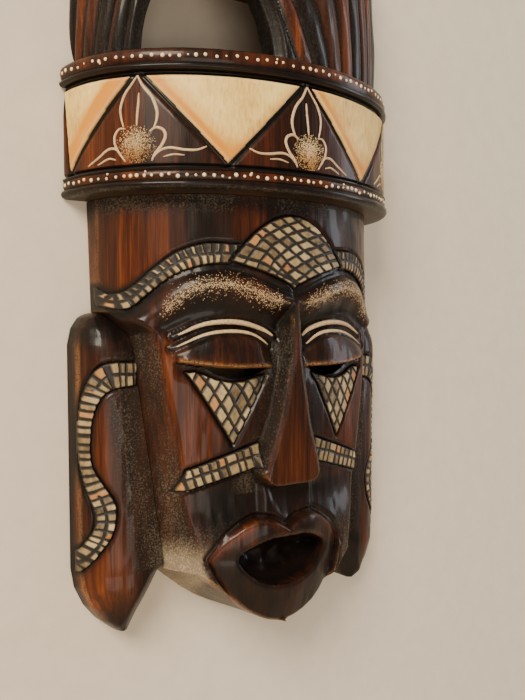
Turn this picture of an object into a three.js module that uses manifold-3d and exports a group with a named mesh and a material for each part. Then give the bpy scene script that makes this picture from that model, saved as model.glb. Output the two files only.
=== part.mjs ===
// Carved wooden wall mask: a half-log head with a banded headdress, ear flaps and a fluted crest.
// Millimetres. +X is right as seen from the front, the face looks along -Y and +Z is up.
// The wall is the plane Y = 0, and the origin is the point where the mask hangs on it.
// Heights below are measured from the middle of the headdress band; the group moves them to the origin.
import * as THREE from "three";
import { mergeVertices } from "three/addons/utils/BufferGeometryUtils.js";
import Module from "manifold-3d";

// ---------- driving dimensions ----------
const GAP = 0.3; // clearance between pieces that meet
const HANG_HEIGHT = 92; // hanging point above the middle of the band
const BEHIND = 4; // how far the hollowing cuts start behind the wall plane
const BAND = { halfWidth: 80, depth: 59.4, wall: 16, bottom: -20, top: 16.8, pitch: 69.8 };
const UPPER_RING = { bottom: BAND.top + GAP, top: 25.5, proud: 1.6 };
const LOWER_RING = { bottom: -28.5, top: BAND.bottom - GAP, proud: 1.6 };
const HEAD = { halfWidth: 70.5, depth: 50, top: LOWER_RING.bottom - GAP, brow: -68, chin: -208.5 };
const EAR = { depth: 20, top: -74.8, bottom: -206.3, jawCorner: -182 };
const CHEEK = { depth: 45.2, round: 0.0043, ridgeSlope: 2.2, jawSlope: 5, hollow: 3.4, swell: 2 };
const NOSE = {
  bridge: -70.7, tip: -147.4, bridgeHalf: 1.6, tipHalf: 14.4, flare: 1.35,
  depth: 52.6, tipSetBack: 1.6, root: 28, flank: 5,
};
const MOUTH = {
  x: -1.8, z: -176.7, halfWidth: 33.7, below: 30.8, above: 14.5, peakHalf: 14, depth: 46.5, back: 20,
  round: 0.0088, leanFrom: -170, lean: 0.0058, fullness: [2.1, 0.75],
};
const MOUTH_BOWL = { z: -179.6, halfWidth: 21.5, halfHeight: 10.4, depth: 20, middle: 42 };
const EYE = { slitInner: 10.5, slitOuter: 38, slitTop: -98.2, slitDip: 4.2 };
const CREST = { halfWidth: 75, depth: 55, topHalfWidth: 79.5, topDepth: 34, base: 25.5 + GAP, top: 130 };
const CREST_FLUTES = { count: 26, depth: 1.8 };
const CREST_HOLLOW = { halfWidth: 64, depth: 44, roof: 72, roofShare: 0.8 };
const CREST_ARCH = { halfWidth: 85, spring: 88 };
const WINDOW = { x: -34.9, halfWidth: 24.7, height: 40, lean: -0.03 };
const INLAY = { lift: GAP, thickness: 0.9 };
const HANGER = { length: 44, height: 11, thickness: 0.8, teeth: 11, toothDepth: 1.6 };
const POCKET = { length: 52, height: 17, depth: 7 };
const NAIL = { shankRadius: 0.8, headRadius: 2, headHeight: 0.9, length: 13, spacing: 36 };

// half-width of the head at each height: [height, half-width]
const HEAD_EDGE = [
  [HEAD.top, 70.5], [-74.4, 69.4], [-84, 60.6], [EAR.jawCorner, 46.5],
  [-186, 41.8], [-190, 37.3], [-196.5, 29.3], [-202, 21.5], [-206, 14], [HEAD.chin, 5],
];
// outer and inner edges of an ear flap below and above its straight stretch
const EAR_OUTER = [
  [EAR.top, 70.6], [-77, 75.2], [-81, 78.4], [-88, 80], [-180, 80],
  [-188, 78.4], [-196, 74.6], [-202, 70], [EAR.bottom, 65],
];
const EAR_BEVEL = [[EAR.jawCorner, 47], [EAR.bottom, 60]];
// the hollow behind the face: [height, half-width, depth]
const HOLLOW = [
  [BAND.bottom, 57, 37], [-50, 56, 35], [-80, 46, 33], [-112, 42, 29],
  [-140, 36, 22], [-166, 28, 13], [-192, 16, 6],
];

// ---------- materials ----------
const material = (color, roughness, metalness = 0) =>
  new THREE.MeshStandardMaterial({ color, roughness, metalness });
const DARK_WOOD = material("#3d1c10", 0.35);
const BAND_WOOD = material("#2e1410", 0.35);
const RING_WOOD = material("#341b10", 0.4);
const CREST_WOOD = material("#4a2412", 0.4);
const CREAM_INLAY = material("#dfc084", 0.5);
const PALE_TESSERAE = material("#b09a6a", 0.55);
const ZINC_STEEL = material("#b9bcc0", 0.35, 0.9);

// ---------- solids ----------
const wasm = await Module();
wasm.setup();

function toSolid(geometry) {
  const bare = geometry.index ? geometry.clone() : geometry;
  bare.deleteAttribute("normal");
  bare.deleteAttribute("uv");
  const merged = mergeVertices(bare, 1e-4);
  return new wasm.Manifold(new wasm.Mesh({
    numProp: 3,
    vertProperties: new Float32Array(merged.attributes.position.array),
    triVerts: new Uint32Array(merged.index.array),
  }));
}

function toGeometry(solid) {
  const mesh = solid.getMesh();
  const geometry = new THREE.BufferGeometry();
  geometry.setAttribute("position", new THREE.BufferAttribute(mesh.vertProperties, mesh.numProp));
  geometry.setIndex(new THREE.BufferAttribute(mesh.triVerts, 1));
  geometry.computeVertexNormals();
  return geometry;
}

function mesh(name, geometry, surface) {
  const part = new THREE.Mesh(geometry, surface);
  part.name = name;
  return part;
}

// Closed solid through a row of closed outlines that all have the same number of points.
// Each end is a fan from its middle, so the end outlines bulge outward all round.
function loft(rings) {
  const count = rings[0].length;
  const points = rings.flat();
  const triangles = [];
  for (let r = 0; r + 1 < rings.length; r++) {
    for (let i = 0; i < count; i++) {
      const [a, b] = [r * count + i, r * count + ((i + 1) % count)];
      triangles.push([a, b, b + count], [a, b + count, a + count]);
    }
  }
  const last = (rings.length - 1) * count;
  const middle = (ring) => ring.reduce((sum, p) => sum.add(p), new THREE.Vector3()).divideScalar(count);
  points.push(middle(rings[0]), middle(rings.at(-1)));
  for (let i = 0; i < count; i++) {
    const j = (i + 1) % count;
    triangles.push([j, i, points.length - 2], [last + i, last + j, points.length - 1]);
  }
  return closedGeometry(points, triangles);
}

// Builds an indexed geometry, drops collapsed triangles and turns the faces outward.
function closedGeometry(points, triangles) {
  const geometry = new THREE.BufferGeometry().setFromPoints(points);
  geometry.setIndex(triangles.flat());
  const merged = mergeVertices(geometry, 1e-4);
  const old = merged.index.array;
  const kept = [];
  for (let i = 0; i < old.length; i += 3) {
    const [a, b, c] = [old[i], old[i + 1], old[i + 2]];
    if (a !== b && b !== c && c !== a) kept.push([a, b, c]);
  }
  const at = (k) => new THREE.Vector3().fromBufferAttribute(merged.attributes.position, k);
  const volume = kept.reduce((sum, [a, b, c]) => sum + at(a).dot(at(b).cross(at(c))), 0);
  merged.setIndex(kept.map((t) => (volume < 0 ? [t[0], t[2], t[1]] : t)).flat());
  merged.computeVertexNormals();
  return merged;
}

// Reads a table of [position, value] rows at a position, in straight stretches.
function along(table, position) {
  const down = table[0][0] > table.at(-1)[0];
  for (let i = 0; i + 1 < table.length; i++) {
    const [from, to] = [table[i], table[i + 1]];
    const inside = down ? position >= to[0] : position <= to[0];
    if (inside || i + 2 === table.length) {
      const share = THREE.MathUtils.clamp((position - from[0]) / (to[0] - from[0]), 0, 1);
      return THREE.MathUtils.lerp(from[1], to[1], share);
    }
  }
}

const steps = (from, to, count) =>
  Array.from({ length: count + 1 }, (_, i) => THREE.MathUtils.lerp(from, to, i / count));
const smooth = THREE.MathUtils.smoothstep;

// Prism through the whole thickness of the mask from an outline of [x, height] points.
function prismAlongY(outline) {
  const [inFront, behind] = [110, 10];
  const shape = new THREE.Shape(outline.map(([x, z]) => new THREE.Vector2(x, z)));
  const prism = new THREE.ExtrudeGeometry(shape, { depth: inFront + behind, bevelEnabled: false });
  return prism.rotateX(Math.PI / 2).translate(0, behind, 0);
}

// ---------- surfaces that the inlays follow ----------
// A half-ellipse standing on the wall, by distance around it from the front centre line.
function halfEllipse(halfWidth, depth) {
  const table = [[0, 0]];
  let length = 0;
  const pieces = 180;
  for (let i = 1; i <= pieces; i++) {
    const middle = ((i - 0.5) / pieces) * (Math.PI / 2);
    length += Math.hypot(halfWidth * Math.cos(middle), depth * Math.sin(middle)) * (Math.PI / 2 / pieces);
    table.push([length, (i / pieces) * (Math.PI / 2)]);
  }
  return {
    length,
    at(around, z) {
      const angle = Math.sign(around) * along(table, Math.min(Math.abs(around), length));
      const normal = new THREE.Vector3(Math.sin(angle) / halfWidth, -Math.cos(angle) / depth, 0);
      const point = new THREE.Vector3(halfWidth * Math.sin(angle), -depth * Math.cos(angle), z);
      return { point, normal: normal.normalize() };
    },
  };
}

// How far the front of the head stands out from the wall.
function headDepth(x, z) {
  const half = Math.abs(x);
  const skull = HEAD.depth * Math.sqrt(Math.max(0, 1 - (x / HEAD.halfWidth) ** 2));
  if (z > HEAD.brow) return skull;
  const edge = along(HEAD_EDGE, z);
  const flesh = CHEEK.swell * smooth(-z, 152, 168) - CHEEK.hollow * smooth(-z, 112, 150);
  const cheek = CHEEK.depth - CHEEK.round * x * x + flesh;
  const inFromEdge = edge - half;
  const side = z > EAR.jawCorner ? EAR.depth + CHEEK.ridgeSlope * inFromEdge : CHEEK.jawSlope * inFromEdge;
  return THREE.MathUtils.lerp(skull, Math.min(cheek, side), smooth(-z, -HEAD.brow, 82));
}

// Wedge from the bridge between the brows to the blunt tip.
function nose() {
  const rings = steps(0, 1, 6).map((down) => {
    const z = THREE.MathUtils.lerp(NOSE.bridge, NOSE.tip, down);
    const half = THREE.MathUtils.lerp(NOSE.bridgeHalf, NOSE.tipHalf, down ** NOSE.flare);
    const front = -NOSE.depth + NOSE.tipSetBack * down * down;
    const wide = half + NOSE.flank * down + 1;
    return [[-wide, -NOSE.root], [-half, front], [half, front], [wide, -NOSE.root]]
      .map(([x, y]) => new THREE.Vector3(x, y, z));
  });
  return loft(rings);
}

// Flat-fronted lips from the top of the upper lip down to the chin.
function lips() {
  const rings = steps(0, 1, 14).map((down) => {
    const z = MOUTH.z + MOUTH.above - down * (MOUTH.above + MOUTH.below);
    const fall = Math.max(0, (MOUTH.z - z) / MOUTH.below);
    const rise = Math.max(0, (z - MOUTH.z) / MOUTH.above);
    const [bulge, taper] = MOUTH.fullness;
    const below = MOUTH.halfWidth * Math.max(0.02, 1 - fall ** bulge) ** taper;
    const half = THREE.MathUtils.lerp(below, MOUTH.peakHalf, rise);
    const lean = MOUTH.lean * Math.max(0, MOUTH.leanFrom - z) ** 2;
    const at = (x, depth) => new THREE.Vector3(MOUTH.x + x, -depth, z);
    const front = steps(-half, half, 12).map((x) => at(x, MOUTH.depth - MOUTH.round * x * x - lean));
    return [at(-half, MOUTH.back), ...front, at(half, MOUTH.back)];
  });
  return loft(rings);
}

// The ear flap's section from the groove beside the face round to the wall.
function earEdges(z) {
  const inner = z > EAR.jawCorner ? along(HEAD_EDGE, z) + GAP : along(EAR_BEVEL, z);
  return [inner, along(EAR_OUTER, z)];
}

function earDepth(z) {
  const shoulder = Math.sqrt(Math.max(0, 1 - ((z + 94) / 20) ** 2));
  return EAR.depth * (z > -94 ? Math.max(0.3, shoulder) : 1 - 0.16 * smooth(-z, 186, 206));
}

function earSection(z) {
  const [inner, outer] = earEdges(z);
  const depth = earDepth(z);
  const knots = [[0, 1], [0.35, 0.985], [0.62, 0.88], [0.82, 0.7], [0.95, 0.42], [1, 0]];
  return new THREE.SplineCurve(knots.map(
    ([across, out]) => new THREE.Vector2(THREE.MathUtils.lerp(inner, outer, across), -out * depth),
  ));
}

// ---------- inlays ----------
// Thin plate lying on a surface. corners(u, v) gives the surface's two coordinates.
function plate(surface, corners, across, up) {
  const skin = (height) => steps(0, 1, up).map((v) => steps(0, 1, across).map((u) => {
    const { point, normal } = surface.at(...corners(u, v));
    return point.addScaledVector(normal, height);
  }));
  const [under, over] = [skin(INLAY.lift), skin(INLAY.lift + INLAY.thickness)];
  const width = across + 1;
  const size = width * (up + 1);
  const triangles = [];
  const quad = (a, b, c, d) => triangles.push([a, b, c], [a, c, d]);
  for (let v = 0; v < up; v++) {
    for (let u = 0; u < across; u++) {
      const a = v * width + u;
      quad(a + size, a + 1 + size, a + width + 1 + size, a + width + size);
      quad(a, a + width, a + width + 1, a + 1);
    }
    const [left, right] = [v * width, v * width + across];
    quad(left, left + size, left + width + size, left + width);
    quad(right, right + width, right + width + size, right + size);
  }
  for (let u = 0; u < across; u++) {
    const top = up * width + u;
    quad(u, u + 1, u + 1 + size, u + size);
    quad(top, top + size, top + 1 + size, top + 1);
  }
  return closedGeometry([...under.flat(), ...over.flat()], triangles);
}

// Thin layer all over a carved solid, grown away from a line that stands on the wall at x = centre.
function layerOver(solid, centre, radius) {
  const grown = (by) => solid.translate(-centre, 0, 0).scale([1 + by / radius, 1 + by / radius, 1])
    .translate(centre, 0, 0);
  return grown(INLAY.lift + INLAY.thickness).subtract(grown(INLAY.lift));
}

const cutFrom = (layer, outline) => toGeometry(layer.intersect(toSolid(prismAlongY(outline))));

function throughPoints(points, count) {
  const curve = new THREE.SplineCurve(points.map(([x, z]) => new THREE.Vector2(x, z)));
  return curve.getPoints(count).map((p) => [p.x, p.y]);
}

const mirrored = (outline, side) => outline.map(([x, z]) => [side * x, z]);

// ---------- headdress band and rings ----------
function halfHoop(profile) {
  const rings = steps(0, Math.PI, 40).map((turn) => profile.map(([out, z]) => new THREE.Vector3(
    -(BAND.halfWidth + out) * Math.cos(turn), -(BAND.depth + out) * Math.sin(turn), z,
  )));
  return loft(rings);
}

function headdressBand() {
  return halfHoop([[-BAND.wall, BAND.bottom], [0, BAND.bottom], [0, BAND.top], [-BAND.wall, BAND.top]]);
}

function beadRing({ bottom, top, proud }) {
  const round = proud * 0.5;
  return halfHoop([
    [-BAND.wall, bottom], [proud - round, bottom], [proud, bottom + round],
    [proud - 0.4, top - round], [proud - 0.4 - round, top], [-BAND.wall, top],
  ]);
}

// Cream triangles point down, one pitch apart; the outer two are cut short by the wall.
function bandTriangles() {
  const surface = halfEllipse(BAND.halfWidth, BAND.depth);
  const groove = 1.6;
  const topZ = BAND.top - groove;
  const tipZ = BAND.bottom + groove;
  const half = BAND.pitch / 2 - 2 * groove;
  return [-1.5, -0.5, 0.5, 1.5].map((place, i) => {
    const tip = place * BAND.pitch;
    const corners = (u, v) => {
      const reach = half * v;
      const edge = surface.length - groove;
      const from = Math.max(tip - reach, -edge);
      const to = Math.min(tip + reach, edge);
      return [THREE.MathUtils.lerp(from, to, u), THREE.MathUtils.lerp(tipZ, topZ, v)];
    };
    return mesh(`band_triangle_${i + 1}`, plate(surface, corners, 10, 6), CREAM_INLAY);
  });
}

// ---------- head ----------
function hollow() {
  const rings = HOLLOW.map(([z, halfWidth, depth]) => steps(0, Math.PI, 20).map(
    (turn) => new THREE.Vector3(halfWidth * Math.cos(turn), BEHIND - (depth + BEHIND) * Math.sin(turn), z),
  ));
  return loft(rings);
}

function eyeSlit(side) {
  const middle = (EYE.slitInner + EYE.slitOuter) / 2;
  const half = (EYE.slitOuter - EYE.slitInner) / 2;
  const sag = (t) => EYE.slitDip * (1 - t * t);
  return prismAlongY(steps(-1, 1, 10).map((t) => [side * (middle + half * t), EYE.slitTop - sag(t)]));
}

function mouthBowl() {
  const bowl = new THREE.SphereGeometry(1, 24, 12);
  bowl.scale(MOUTH_BOWL.halfWidth, MOUTH_BOWL.depth, MOUTH_BOWL.halfHeight);
  bowl.translate(MOUTH.x, -MOUTH_BOWL.middle, MOUTH_BOWL.z);
  return bowl;
}

function faceBlock() {
  const heights = [
    HEAD.top, HEAD.brow, ...steps(-71, -84, 5), ...steps(-92, -172, 10),
    EAR.jawCorner, EAR.jawCorner - 0.6, -186, -190, -196.5, -202, -206, HEAD.chin,
  ];
  const rings = heights.map((z) => {
    const edge = along(HEAD_EDGE, z);
    const front = steps(-1, 1, 32).map((t) => {
      const x = edge * (0.4 * t + 0.6 * Math.sin((t * Math.PI) / 2));
      return new THREE.Vector3(x, -Math.max(0.6, headDepth(x, z)), z);
    });
    return [new THREE.Vector3(-edge, 0, z), ...front, new THREE.Vector3(edge, 0, z)];
  });
  return toSolid(loft(rings)).add(toSolid(nose())).add(toSolid(lips()));
}

function faceShell(block) {
  const cuts = [hollow(), eyeSlit(-1), eyeSlit(1), mouthBowl()];
  return toGeometry(cuts.reduce((kept, cut) => kept.subtract(toSolid(cut)), block));
}

function earFlap(side) {
  const heights = [
    EAR.top, -75.6, -77, -81, -86, -94, -120, -150, -172, EAR.jawCorner, -188, -194, -200, -204, EAR.bottom,
  ];
  const rings = heights.map((z) => {
    const section = earSection(z).getPoints(10).map((p) => new THREE.Vector3(side * p.x, p.y, z));
    const [inner] = earEdges(z);
    return [new THREE.Vector3(side * inner, 0, z), ...section];
  });
  return toSolid(loft(rings));
}

function foreheadLens() {
  const halfWidth = 28.5;
  const upper = steps(-halfWidth, halfWidth, 16).map((x) => [x, -35.5 - 19.8 * (x / halfWidth) ** 2]);
  const lower = steps(halfWidth, -halfWidth, 16).slice(1, -1)
    .map((x) => [x, -66 + 10.7 * Math.abs(x / halfWidth) ** 0.7]);
  return [...upper, ...lower];
}

// Wavy band from the lens out to the wall.
function browBand() {
  const upper = [[29.5, -48], [38, -48], [48, -51.4], [56, -58.3], [62, -65], [66, -66.6]];
  const lower = [[66.2, -73.8], [62, -73.4], [56, -67.4], [48, -60.4], [38, -56.9], [30.5, -56.6]];
  return [...throughPoints(upper, 12), ...throughPoints(lower, 12)];
}

const eyeTriangle = () => [[14.5, -103.6], [43, -103.6], [28, -129.4]];

const cheekStrip = () => [[18, -130.6], [43.6, -138.6], [44.8, -147.4], [18.4, -140.8]];

// S-shaped band down the ear flap.
function earBand() {
  const outer = [[58, -95.2], [70, -95.4], [75.5, -100], [78.4, -112], [79, -130], [77.4, -145],
    [74.6, -156], [75.2, -163], [78.6, -172]];
  const inner = [[78.2, -181.5], [72, -172], [68, -164], [67, -153], [72, -144.5], [76.2, -137],
    [77.2, -127], [76, -115], [70.5, -107], [58, -104.8]];
  return [...throughPoints(outer, 22), ...throughPoints(inner, 22)];
}

// ---------- crest ----------
function crestShell() {
  const rings = steps(CREST.base, CREST.top, 6).map((z) => {
    const up = (z - CREST.base) / (CREST.top - CREST.base);
    const halfWidth = THREE.MathUtils.lerp(CREST.halfWidth, CREST.topHalfWidth, Math.sqrt(up));
    const depth = THREE.MathUtils.lerp(CREST.depth, CREST.topDepth, up * up);
    return steps(0, Math.PI, CREST_FLUTES.count * 3).map((turn) => {
      const flute = CREST_FLUTES.depth * Math.abs(Math.sin(turn * CREST_FLUTES.count));
      return new THREE.Vector3(
        -(halfWidth - CREST_FLUTES.depth + flute) * Math.cos(turn),
        -(depth - CREST_FLUTES.depth + flute) * Math.sin(turn), z,
      );
    });
  });
  return loft(rings);
}

// Front outline of the crest: straight uprights under one wide arch.
function crestOutline() {
  const { halfWidth, spring } = CREST_ARCH;
  const rise = CREST.top - spring;
  const point = (turn) => [halfWidth * Math.cos(turn), spring + rise * Math.sin(turn)];
  const arch = steps(0, Math.PI, 18).map(point);
  return [[halfWidth, CREST.base - 2], ...arch, [-halfWidth, CREST.base - 2]];
}

function crestWindow() {
  const point = (turn) => {
    const rise = WINDOW.height * Math.sin(turn);
    return [WINDOW.x + WINDOW.lean * rise + WINDOW.halfWidth * Math.cos(turn), CREST.base + rise];
  };
  const arch = steps(0, Math.PI, 16).map(point);
  const below = CREST.base - 2;
  return prismAlongY([[WINDOW.x + WINDOW.halfWidth, below], ...arch, [WINDOW.x - WINDOW.halfWidth, below]]);
}

function crestHollow() {
  const { halfWidth, depth, roof, roofShare } = CREST_HOLLOW;
  const sizes = [[CREST.base - 2, 1], [roof - 20, 1], [roof, roofShare]];
  return loft(sizes.map(([z, share]) => steps(0, Math.PI, 20).map((turn) => new THREE.Vector3(
    halfWidth * share * Math.cos(turn), BEHIND - (depth * share + BEHIND) * Math.sin(turn), z,
  ))));
}

function nailHole(x) {
  const hole = new THREE.CylinderGeometry(NAIL.shankRadius + GAP, NAIL.shankRadius + GAP, NAIL.length, 12);
  hole.translate(x, -POCKET.depth - NAIL.length / 2 + 1, HANG_HEIGHT);
  return hole;
}

function crest() {
  const pocket = new THREE.BoxGeometry(POCKET.length, 2 * POCKET.depth, POCKET.height);
  pocket.translate(0, 0, HANG_HEIGHT);
  const cuts = [crestWindow(), crestHollow(), pocket, ...nailPlaces().map(nailHole)];
  const outline = toSolid(prismAlongY(crestOutline()));
  const block = toSolid(crestShell()).intersect(outline);
  return toGeometry(cuts.reduce((kept, cut) => kept.subtract(toSolid(cut)), block));
}

// ---------- hanger ----------
const nailPlaces = () => [-NAIL.spacing / 2, NAIL.spacing / 2];

// Steel strip with a saw-toothed lower edge for a wall nail, and a hole at each end.
function sawtoothHanger() {
  const half = HANGER.length / 2;
  const toothed = NAIL.spacing / 2 - NAIL.headRadius - 1.5;
  const pitch = (2 * toothed) / HANGER.teeth;
  const shape = new THREE.Shape();
  shape.moveTo(-half, -HANGER.height / 2);
  shape.lineTo(-toothed, -HANGER.height / 2);
  for (let i = 0; i < HANGER.teeth; i++) {
    const start = -toothed + i * pitch;
    shape.lineTo(start + pitch / 2, -HANGER.height / 2 + HANGER.toothDepth);
    shape.lineTo(start + pitch, -HANGER.height / 2);
  }
  shape.lineTo(half, -HANGER.height / 2);
  shape.lineTo(half, HANGER.height / 2);
  shape.lineTo(-half, HANGER.height / 2);
  shape.closePath();
  for (const x of nailPlaces()) {
    const hole = new THREE.Path();
    hole.absarc(x, 0, NAIL.shankRadius + GAP, 0, 2 * Math.PI, true);
    shape.holes.push(hole);
  }
  const options = { depth: HANGER.thickness, bevelEnabled: false, curveSegments: 6 };
  return new THREE.ExtrudeGeometry(shape, options);
}

function hangerNail() {
  const [r, head, top] = [NAIL.shankRadius, NAIL.headRadius, NAIL.headHeight];
  const outline = [
    [0, -NAIL.length], [r, 1.8 - NAIL.length], [r, 0],
    [head, 0], [head, top * 0.6], [head * 0.6, top], [0, top],
  ];
  return new THREE.LatheGeometry(outline.map(([x, y]) => new THREE.Vector2(x, y)), 16);
}

// ---------- assembly ----------
const block = faceBlock();
const headLayer = layerOver(block, 0, 55);
const mask = new THREE.Group();
mask.position.z = -HANG_HEIGHT;
mask.add(
  mesh("face_shell", faceShell(block), DARK_WOOD),
  mesh("headdress_band", headdressBand(), BAND_WOOD),
  mesh("upper_bead_ring", beadRing(UPPER_RING), RING_WOOD),
  mesh("lower_bead_ring", beadRing(LOWER_RING), RING_WOOD),
  mesh("fluted_crest", crest(), CREST_WOOD),
  mesh("forehead_lens", cutFrom(headLayer, foreheadLens()), PALE_TESSERAE),
  ...bandTriangles(),
);
for (const [name, side] of [["left", -1], ["right", 1]]) {
  const ear = earFlap(side);
  const earLayer = layerOver(ear, side * 52, 26);
  mask.add(
    mesh(`ear_flap_${name}`, toGeometry(ear), DARK_WOOD),
    mesh(`ear_band_${name}`, cutFrom(earLayer, mirrored(earBand(), side)), PALE_TESSERAE),
    mesh(`brow_band_${name}`, cutFrom(headLayer, mirrored(browBand(), side)), PALE_TESSERAE),
    mesh(`eye_triangle_${name}`, cutFrom(headLayer, mirrored(eyeTriangle(), side)), PALE_TESSERAE),
    mesh(`cheek_strip_${name}`, cutFrom(headLayer, mirrored(cheekStrip(), side)), PALE_TESSERAE),
  );
  const nail = mesh(`hanger_nail_${name}`, hangerNail(), ZINC_STEEL);
  nail.position.set((side * NAIL.spacing) / 2, -POCKET.depth + 2 * GAP + HANGER.thickness, HANG_HEIGHT);
  mask.add(nail);
}
const hanger = mesh("sawtooth_hanger", sawtoothHanger(), ZINC_STEEL);
hanger.rotation.x = Math.PI / 2;
hanger.position.set(0, -POCKET.depth + GAP + HANGER.thickness, HANG_HEIGHT);
mask.add(hanger);

export default mask;
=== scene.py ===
# Carved wooden wall mask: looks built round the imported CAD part.
# Lengths are written in millimetres; heights count from the middle of the headdress band.
import math
from types import SimpleNamespace
import bpy
import numpy as np
from mathutils import Matrix, Vector


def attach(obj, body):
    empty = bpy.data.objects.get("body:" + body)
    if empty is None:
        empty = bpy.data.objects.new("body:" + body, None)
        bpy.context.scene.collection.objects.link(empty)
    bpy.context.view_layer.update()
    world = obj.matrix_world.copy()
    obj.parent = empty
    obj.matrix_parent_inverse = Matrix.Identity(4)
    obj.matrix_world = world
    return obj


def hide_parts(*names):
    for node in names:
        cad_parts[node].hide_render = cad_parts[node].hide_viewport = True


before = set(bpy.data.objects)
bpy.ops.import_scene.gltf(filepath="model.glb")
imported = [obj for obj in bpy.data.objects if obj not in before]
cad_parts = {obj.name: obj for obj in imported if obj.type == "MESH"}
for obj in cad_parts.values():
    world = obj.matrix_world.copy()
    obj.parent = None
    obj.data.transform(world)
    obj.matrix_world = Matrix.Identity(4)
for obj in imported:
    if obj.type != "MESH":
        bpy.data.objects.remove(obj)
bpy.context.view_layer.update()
rng = np.random.default_rng(11)

HANG = 92.0
HEAD_TOP = -28.8
CHIN = -208.5
BAND_HALF, BAND_DEPTH = 80.0, 59.4
PITCH = 69.8


# ---------- small maths ----------
def smooth(v, a, b):
    t = np.clip((v - a) / (b - a), 0.0, 1.0)
    return t * t * (3 - 2 * t)


def lerp(a, b, t):
    return a + (b - a) * t


def hump(d, r):
    return np.exp(-((d / r) ** 2))


def smax(a, b, k):
    h = np.clip(k - np.abs(a - b), 0, None) / k
    return np.maximum(a, b) + h * h * k / 4


def smin(a, b, k):
    return -smax(-a, -b, k)


def most(*layers):
    """Greatest value of several layers, point by point."""
    return np.maximum.reduce(layers)


def spline(points, count):
    """Points of a Catmull-Rom curve through the given ones."""
    p = np.array(points, float)
    p = np.vstack([2 * p[0] - p[1], p, 2 * p[-1] - p[-2]])
    spans = len(p) - 3
    t = np.linspace(0, spans, count)
    i = np.minimum(t.astype(int), spans - 1)
    f = (t - i)[:, None]
    a, b, c, d = p[i], p[i + 1], p[i + 2], p[i + 3]
    square, cube = 2 * a - 5 * b + 4 * c - d, 3 * b - 3 * c + d - a
    return 0.5 * (2 * b + (c - a) * f + square * f ** 2 + cube * f ** 3)


def follow(x, z, line):
    """Distance to a polyline, the length along it and the side, positive on its left."""
    line = np.asarray(line, float)
    x, z = np.broadcast_arrays(x, z)
    best = np.full(x.shape, 1e9)
    along = np.zeros(x.shape)
    side = np.zeros(x.shape)
    start = 0.0
    for (ax, az), (bx, bz) in zip(line, line[1:]):
        vx, vz = bx - ax, bz - az
        length = math.hypot(vx, vz)
        if length < 1e-9:
            continue
        t = np.clip(((x - ax) * vx + (z - az) * vz) / length ** 2, 0, 1)
        d = np.hypot(x - ax - t * vx, z - az - t * vz)
        near = d < best
        best = np.where(near, d, best)
        along = np.where(near, start + t * length, along)
        side = np.where(near, np.sign(vx * (z - az) - vz * (x - ax)), side)
        start += length
    return best, along, best * side


def outside(x, z, outline):
    """Signed distance to a closed outline, negative inside."""
    ring = np.vstack([outline, outline[:1]])
    d = follow(x, z, ring)[0]
    inside = np.zeros(d.shape, bool)
    for (ax, az), (bx, bz) in zip(ring, ring[1:]):
        if az == bz:
            continue
        crosses = (az > z) != (bz > z)
        inside ^= crosses & (x < (bx - ax) * (z - az) / (bz - az) + ax)
    return np.where(inside, -d, d)


def lattice(seed, count=64):
    return np.random.default_rng(seed).random((count, count))


def noise2(x, z, scale, seed):
    """Smooth random field between -1 and 1 with features about `scale` wide."""
    table = lattice(seed)
    u, v = x / scale + 7.3, z / scale + 3.1
    i, j = np.floor(u).astype(int), np.floor(v).astype(int)
    f, g = u - i, v - j
    f, g = f * f * (3 - 2 * f), g * g * (3 - 2 * g)
    n = len(table)
    at = lambda a, b: table[a % n, b % n]
    top = lerp(at(i, j), at(i + 1, j), f)
    low = lerp(at(i, j + 1), at(i + 1, j + 1), f)
    return 2 * lerp(top, low, g) - 1


def hashed(i, j, seed=0):
    table = lattice(seed + 91)
    return table[np.asarray(i, int) % 64, np.asarray(j, int) % 64]


# ---------- the carved front of the head ----------
HEAD_EDGE = np.array([
    [HEAD_TOP, 70.5], [-74.4, 69.4], [-84, 60.6], [-182, 46.5],
    [-186, 41.8], [-190, 37.3], [-196.5, 29.3], [-202, 21.5], [-206, 14], [CHIN, 5],
])


def head_edge(z):
    return np.interp(-z, -HEAD_EDGE[:, 0], HEAD_EDGE[:, 1])


BROW_ARCH = spline([
    [54, -76.5], [51, -73.4], [44, -66.8], [33, -64.4], [21, -66.8], [12, -70.1], [3, -71.8],
], 40)
SOCKET = spline([[52, -81], [41, -75.5], [28, -73.8], [16, -77], [6, -81]], 30)
LID_UPPER = spline([[49, -85.2], [37, -80.2], [24, -79.5], [13, -82.1], [7, -85.6]], 30)
LID_LOWER = spline([[50, -90], [37, -84.4], [26, -83.2], [17, -84.6], [9, -89.4]], 30)
BAND_UPPER = [
    [19, -48.6], [29.5, -48], [38, -48], [48, -51.4], [56, -58.3], [62, -65], [67, -67.5], [70.2, -63.5],
]
BAND_LOWER = [
    [70.2, -72.2], [67, -74], [62, -73.4], [56, -67.4],
    [48, -60.4], [38, -56.9], [29.5, -56.4], [19, -57.4],
]
BROW_BAND = np.vstack([spline(BAND_UPPER, 26), spline(BAND_LOWER, 26)])
BAND_FOOT = spline([
    [67, -76], [62, -75], [56, -69], [48, -62], [38, -58.6], [29, -58.4], [17, -61.6], [8, -65.5], [0, -68],
], 40)
LENS_X = np.linspace(-28.5, 28.5, 41)
LENS = np.vstack([
    np.column_stack([LENS_X, -35.5 - 19.8 * (LENS_X / 28.5) ** 2]),
    np.column_stack([LENS_X, -66 + 10.7 * np.abs(LENS_X / 28.5) ** 0.7])[::-1][1:-1],
])
EYE_TRIANGLE = np.array([
    [46.2, -99.4], [42, -99.2], [38.4, -100.6], [34, -102.6],
    [28, -103.9], [22, -103.4], [16, -101.8], [12.4, -101.0],
    [27.6, -129.9],
])
CHEEK_STRIP = np.array([[14.5, -128.9], [44.6, -138.8], [48.0, -148.4], [15.2, -139.4]])
MOUTH_X = -1.8
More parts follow.
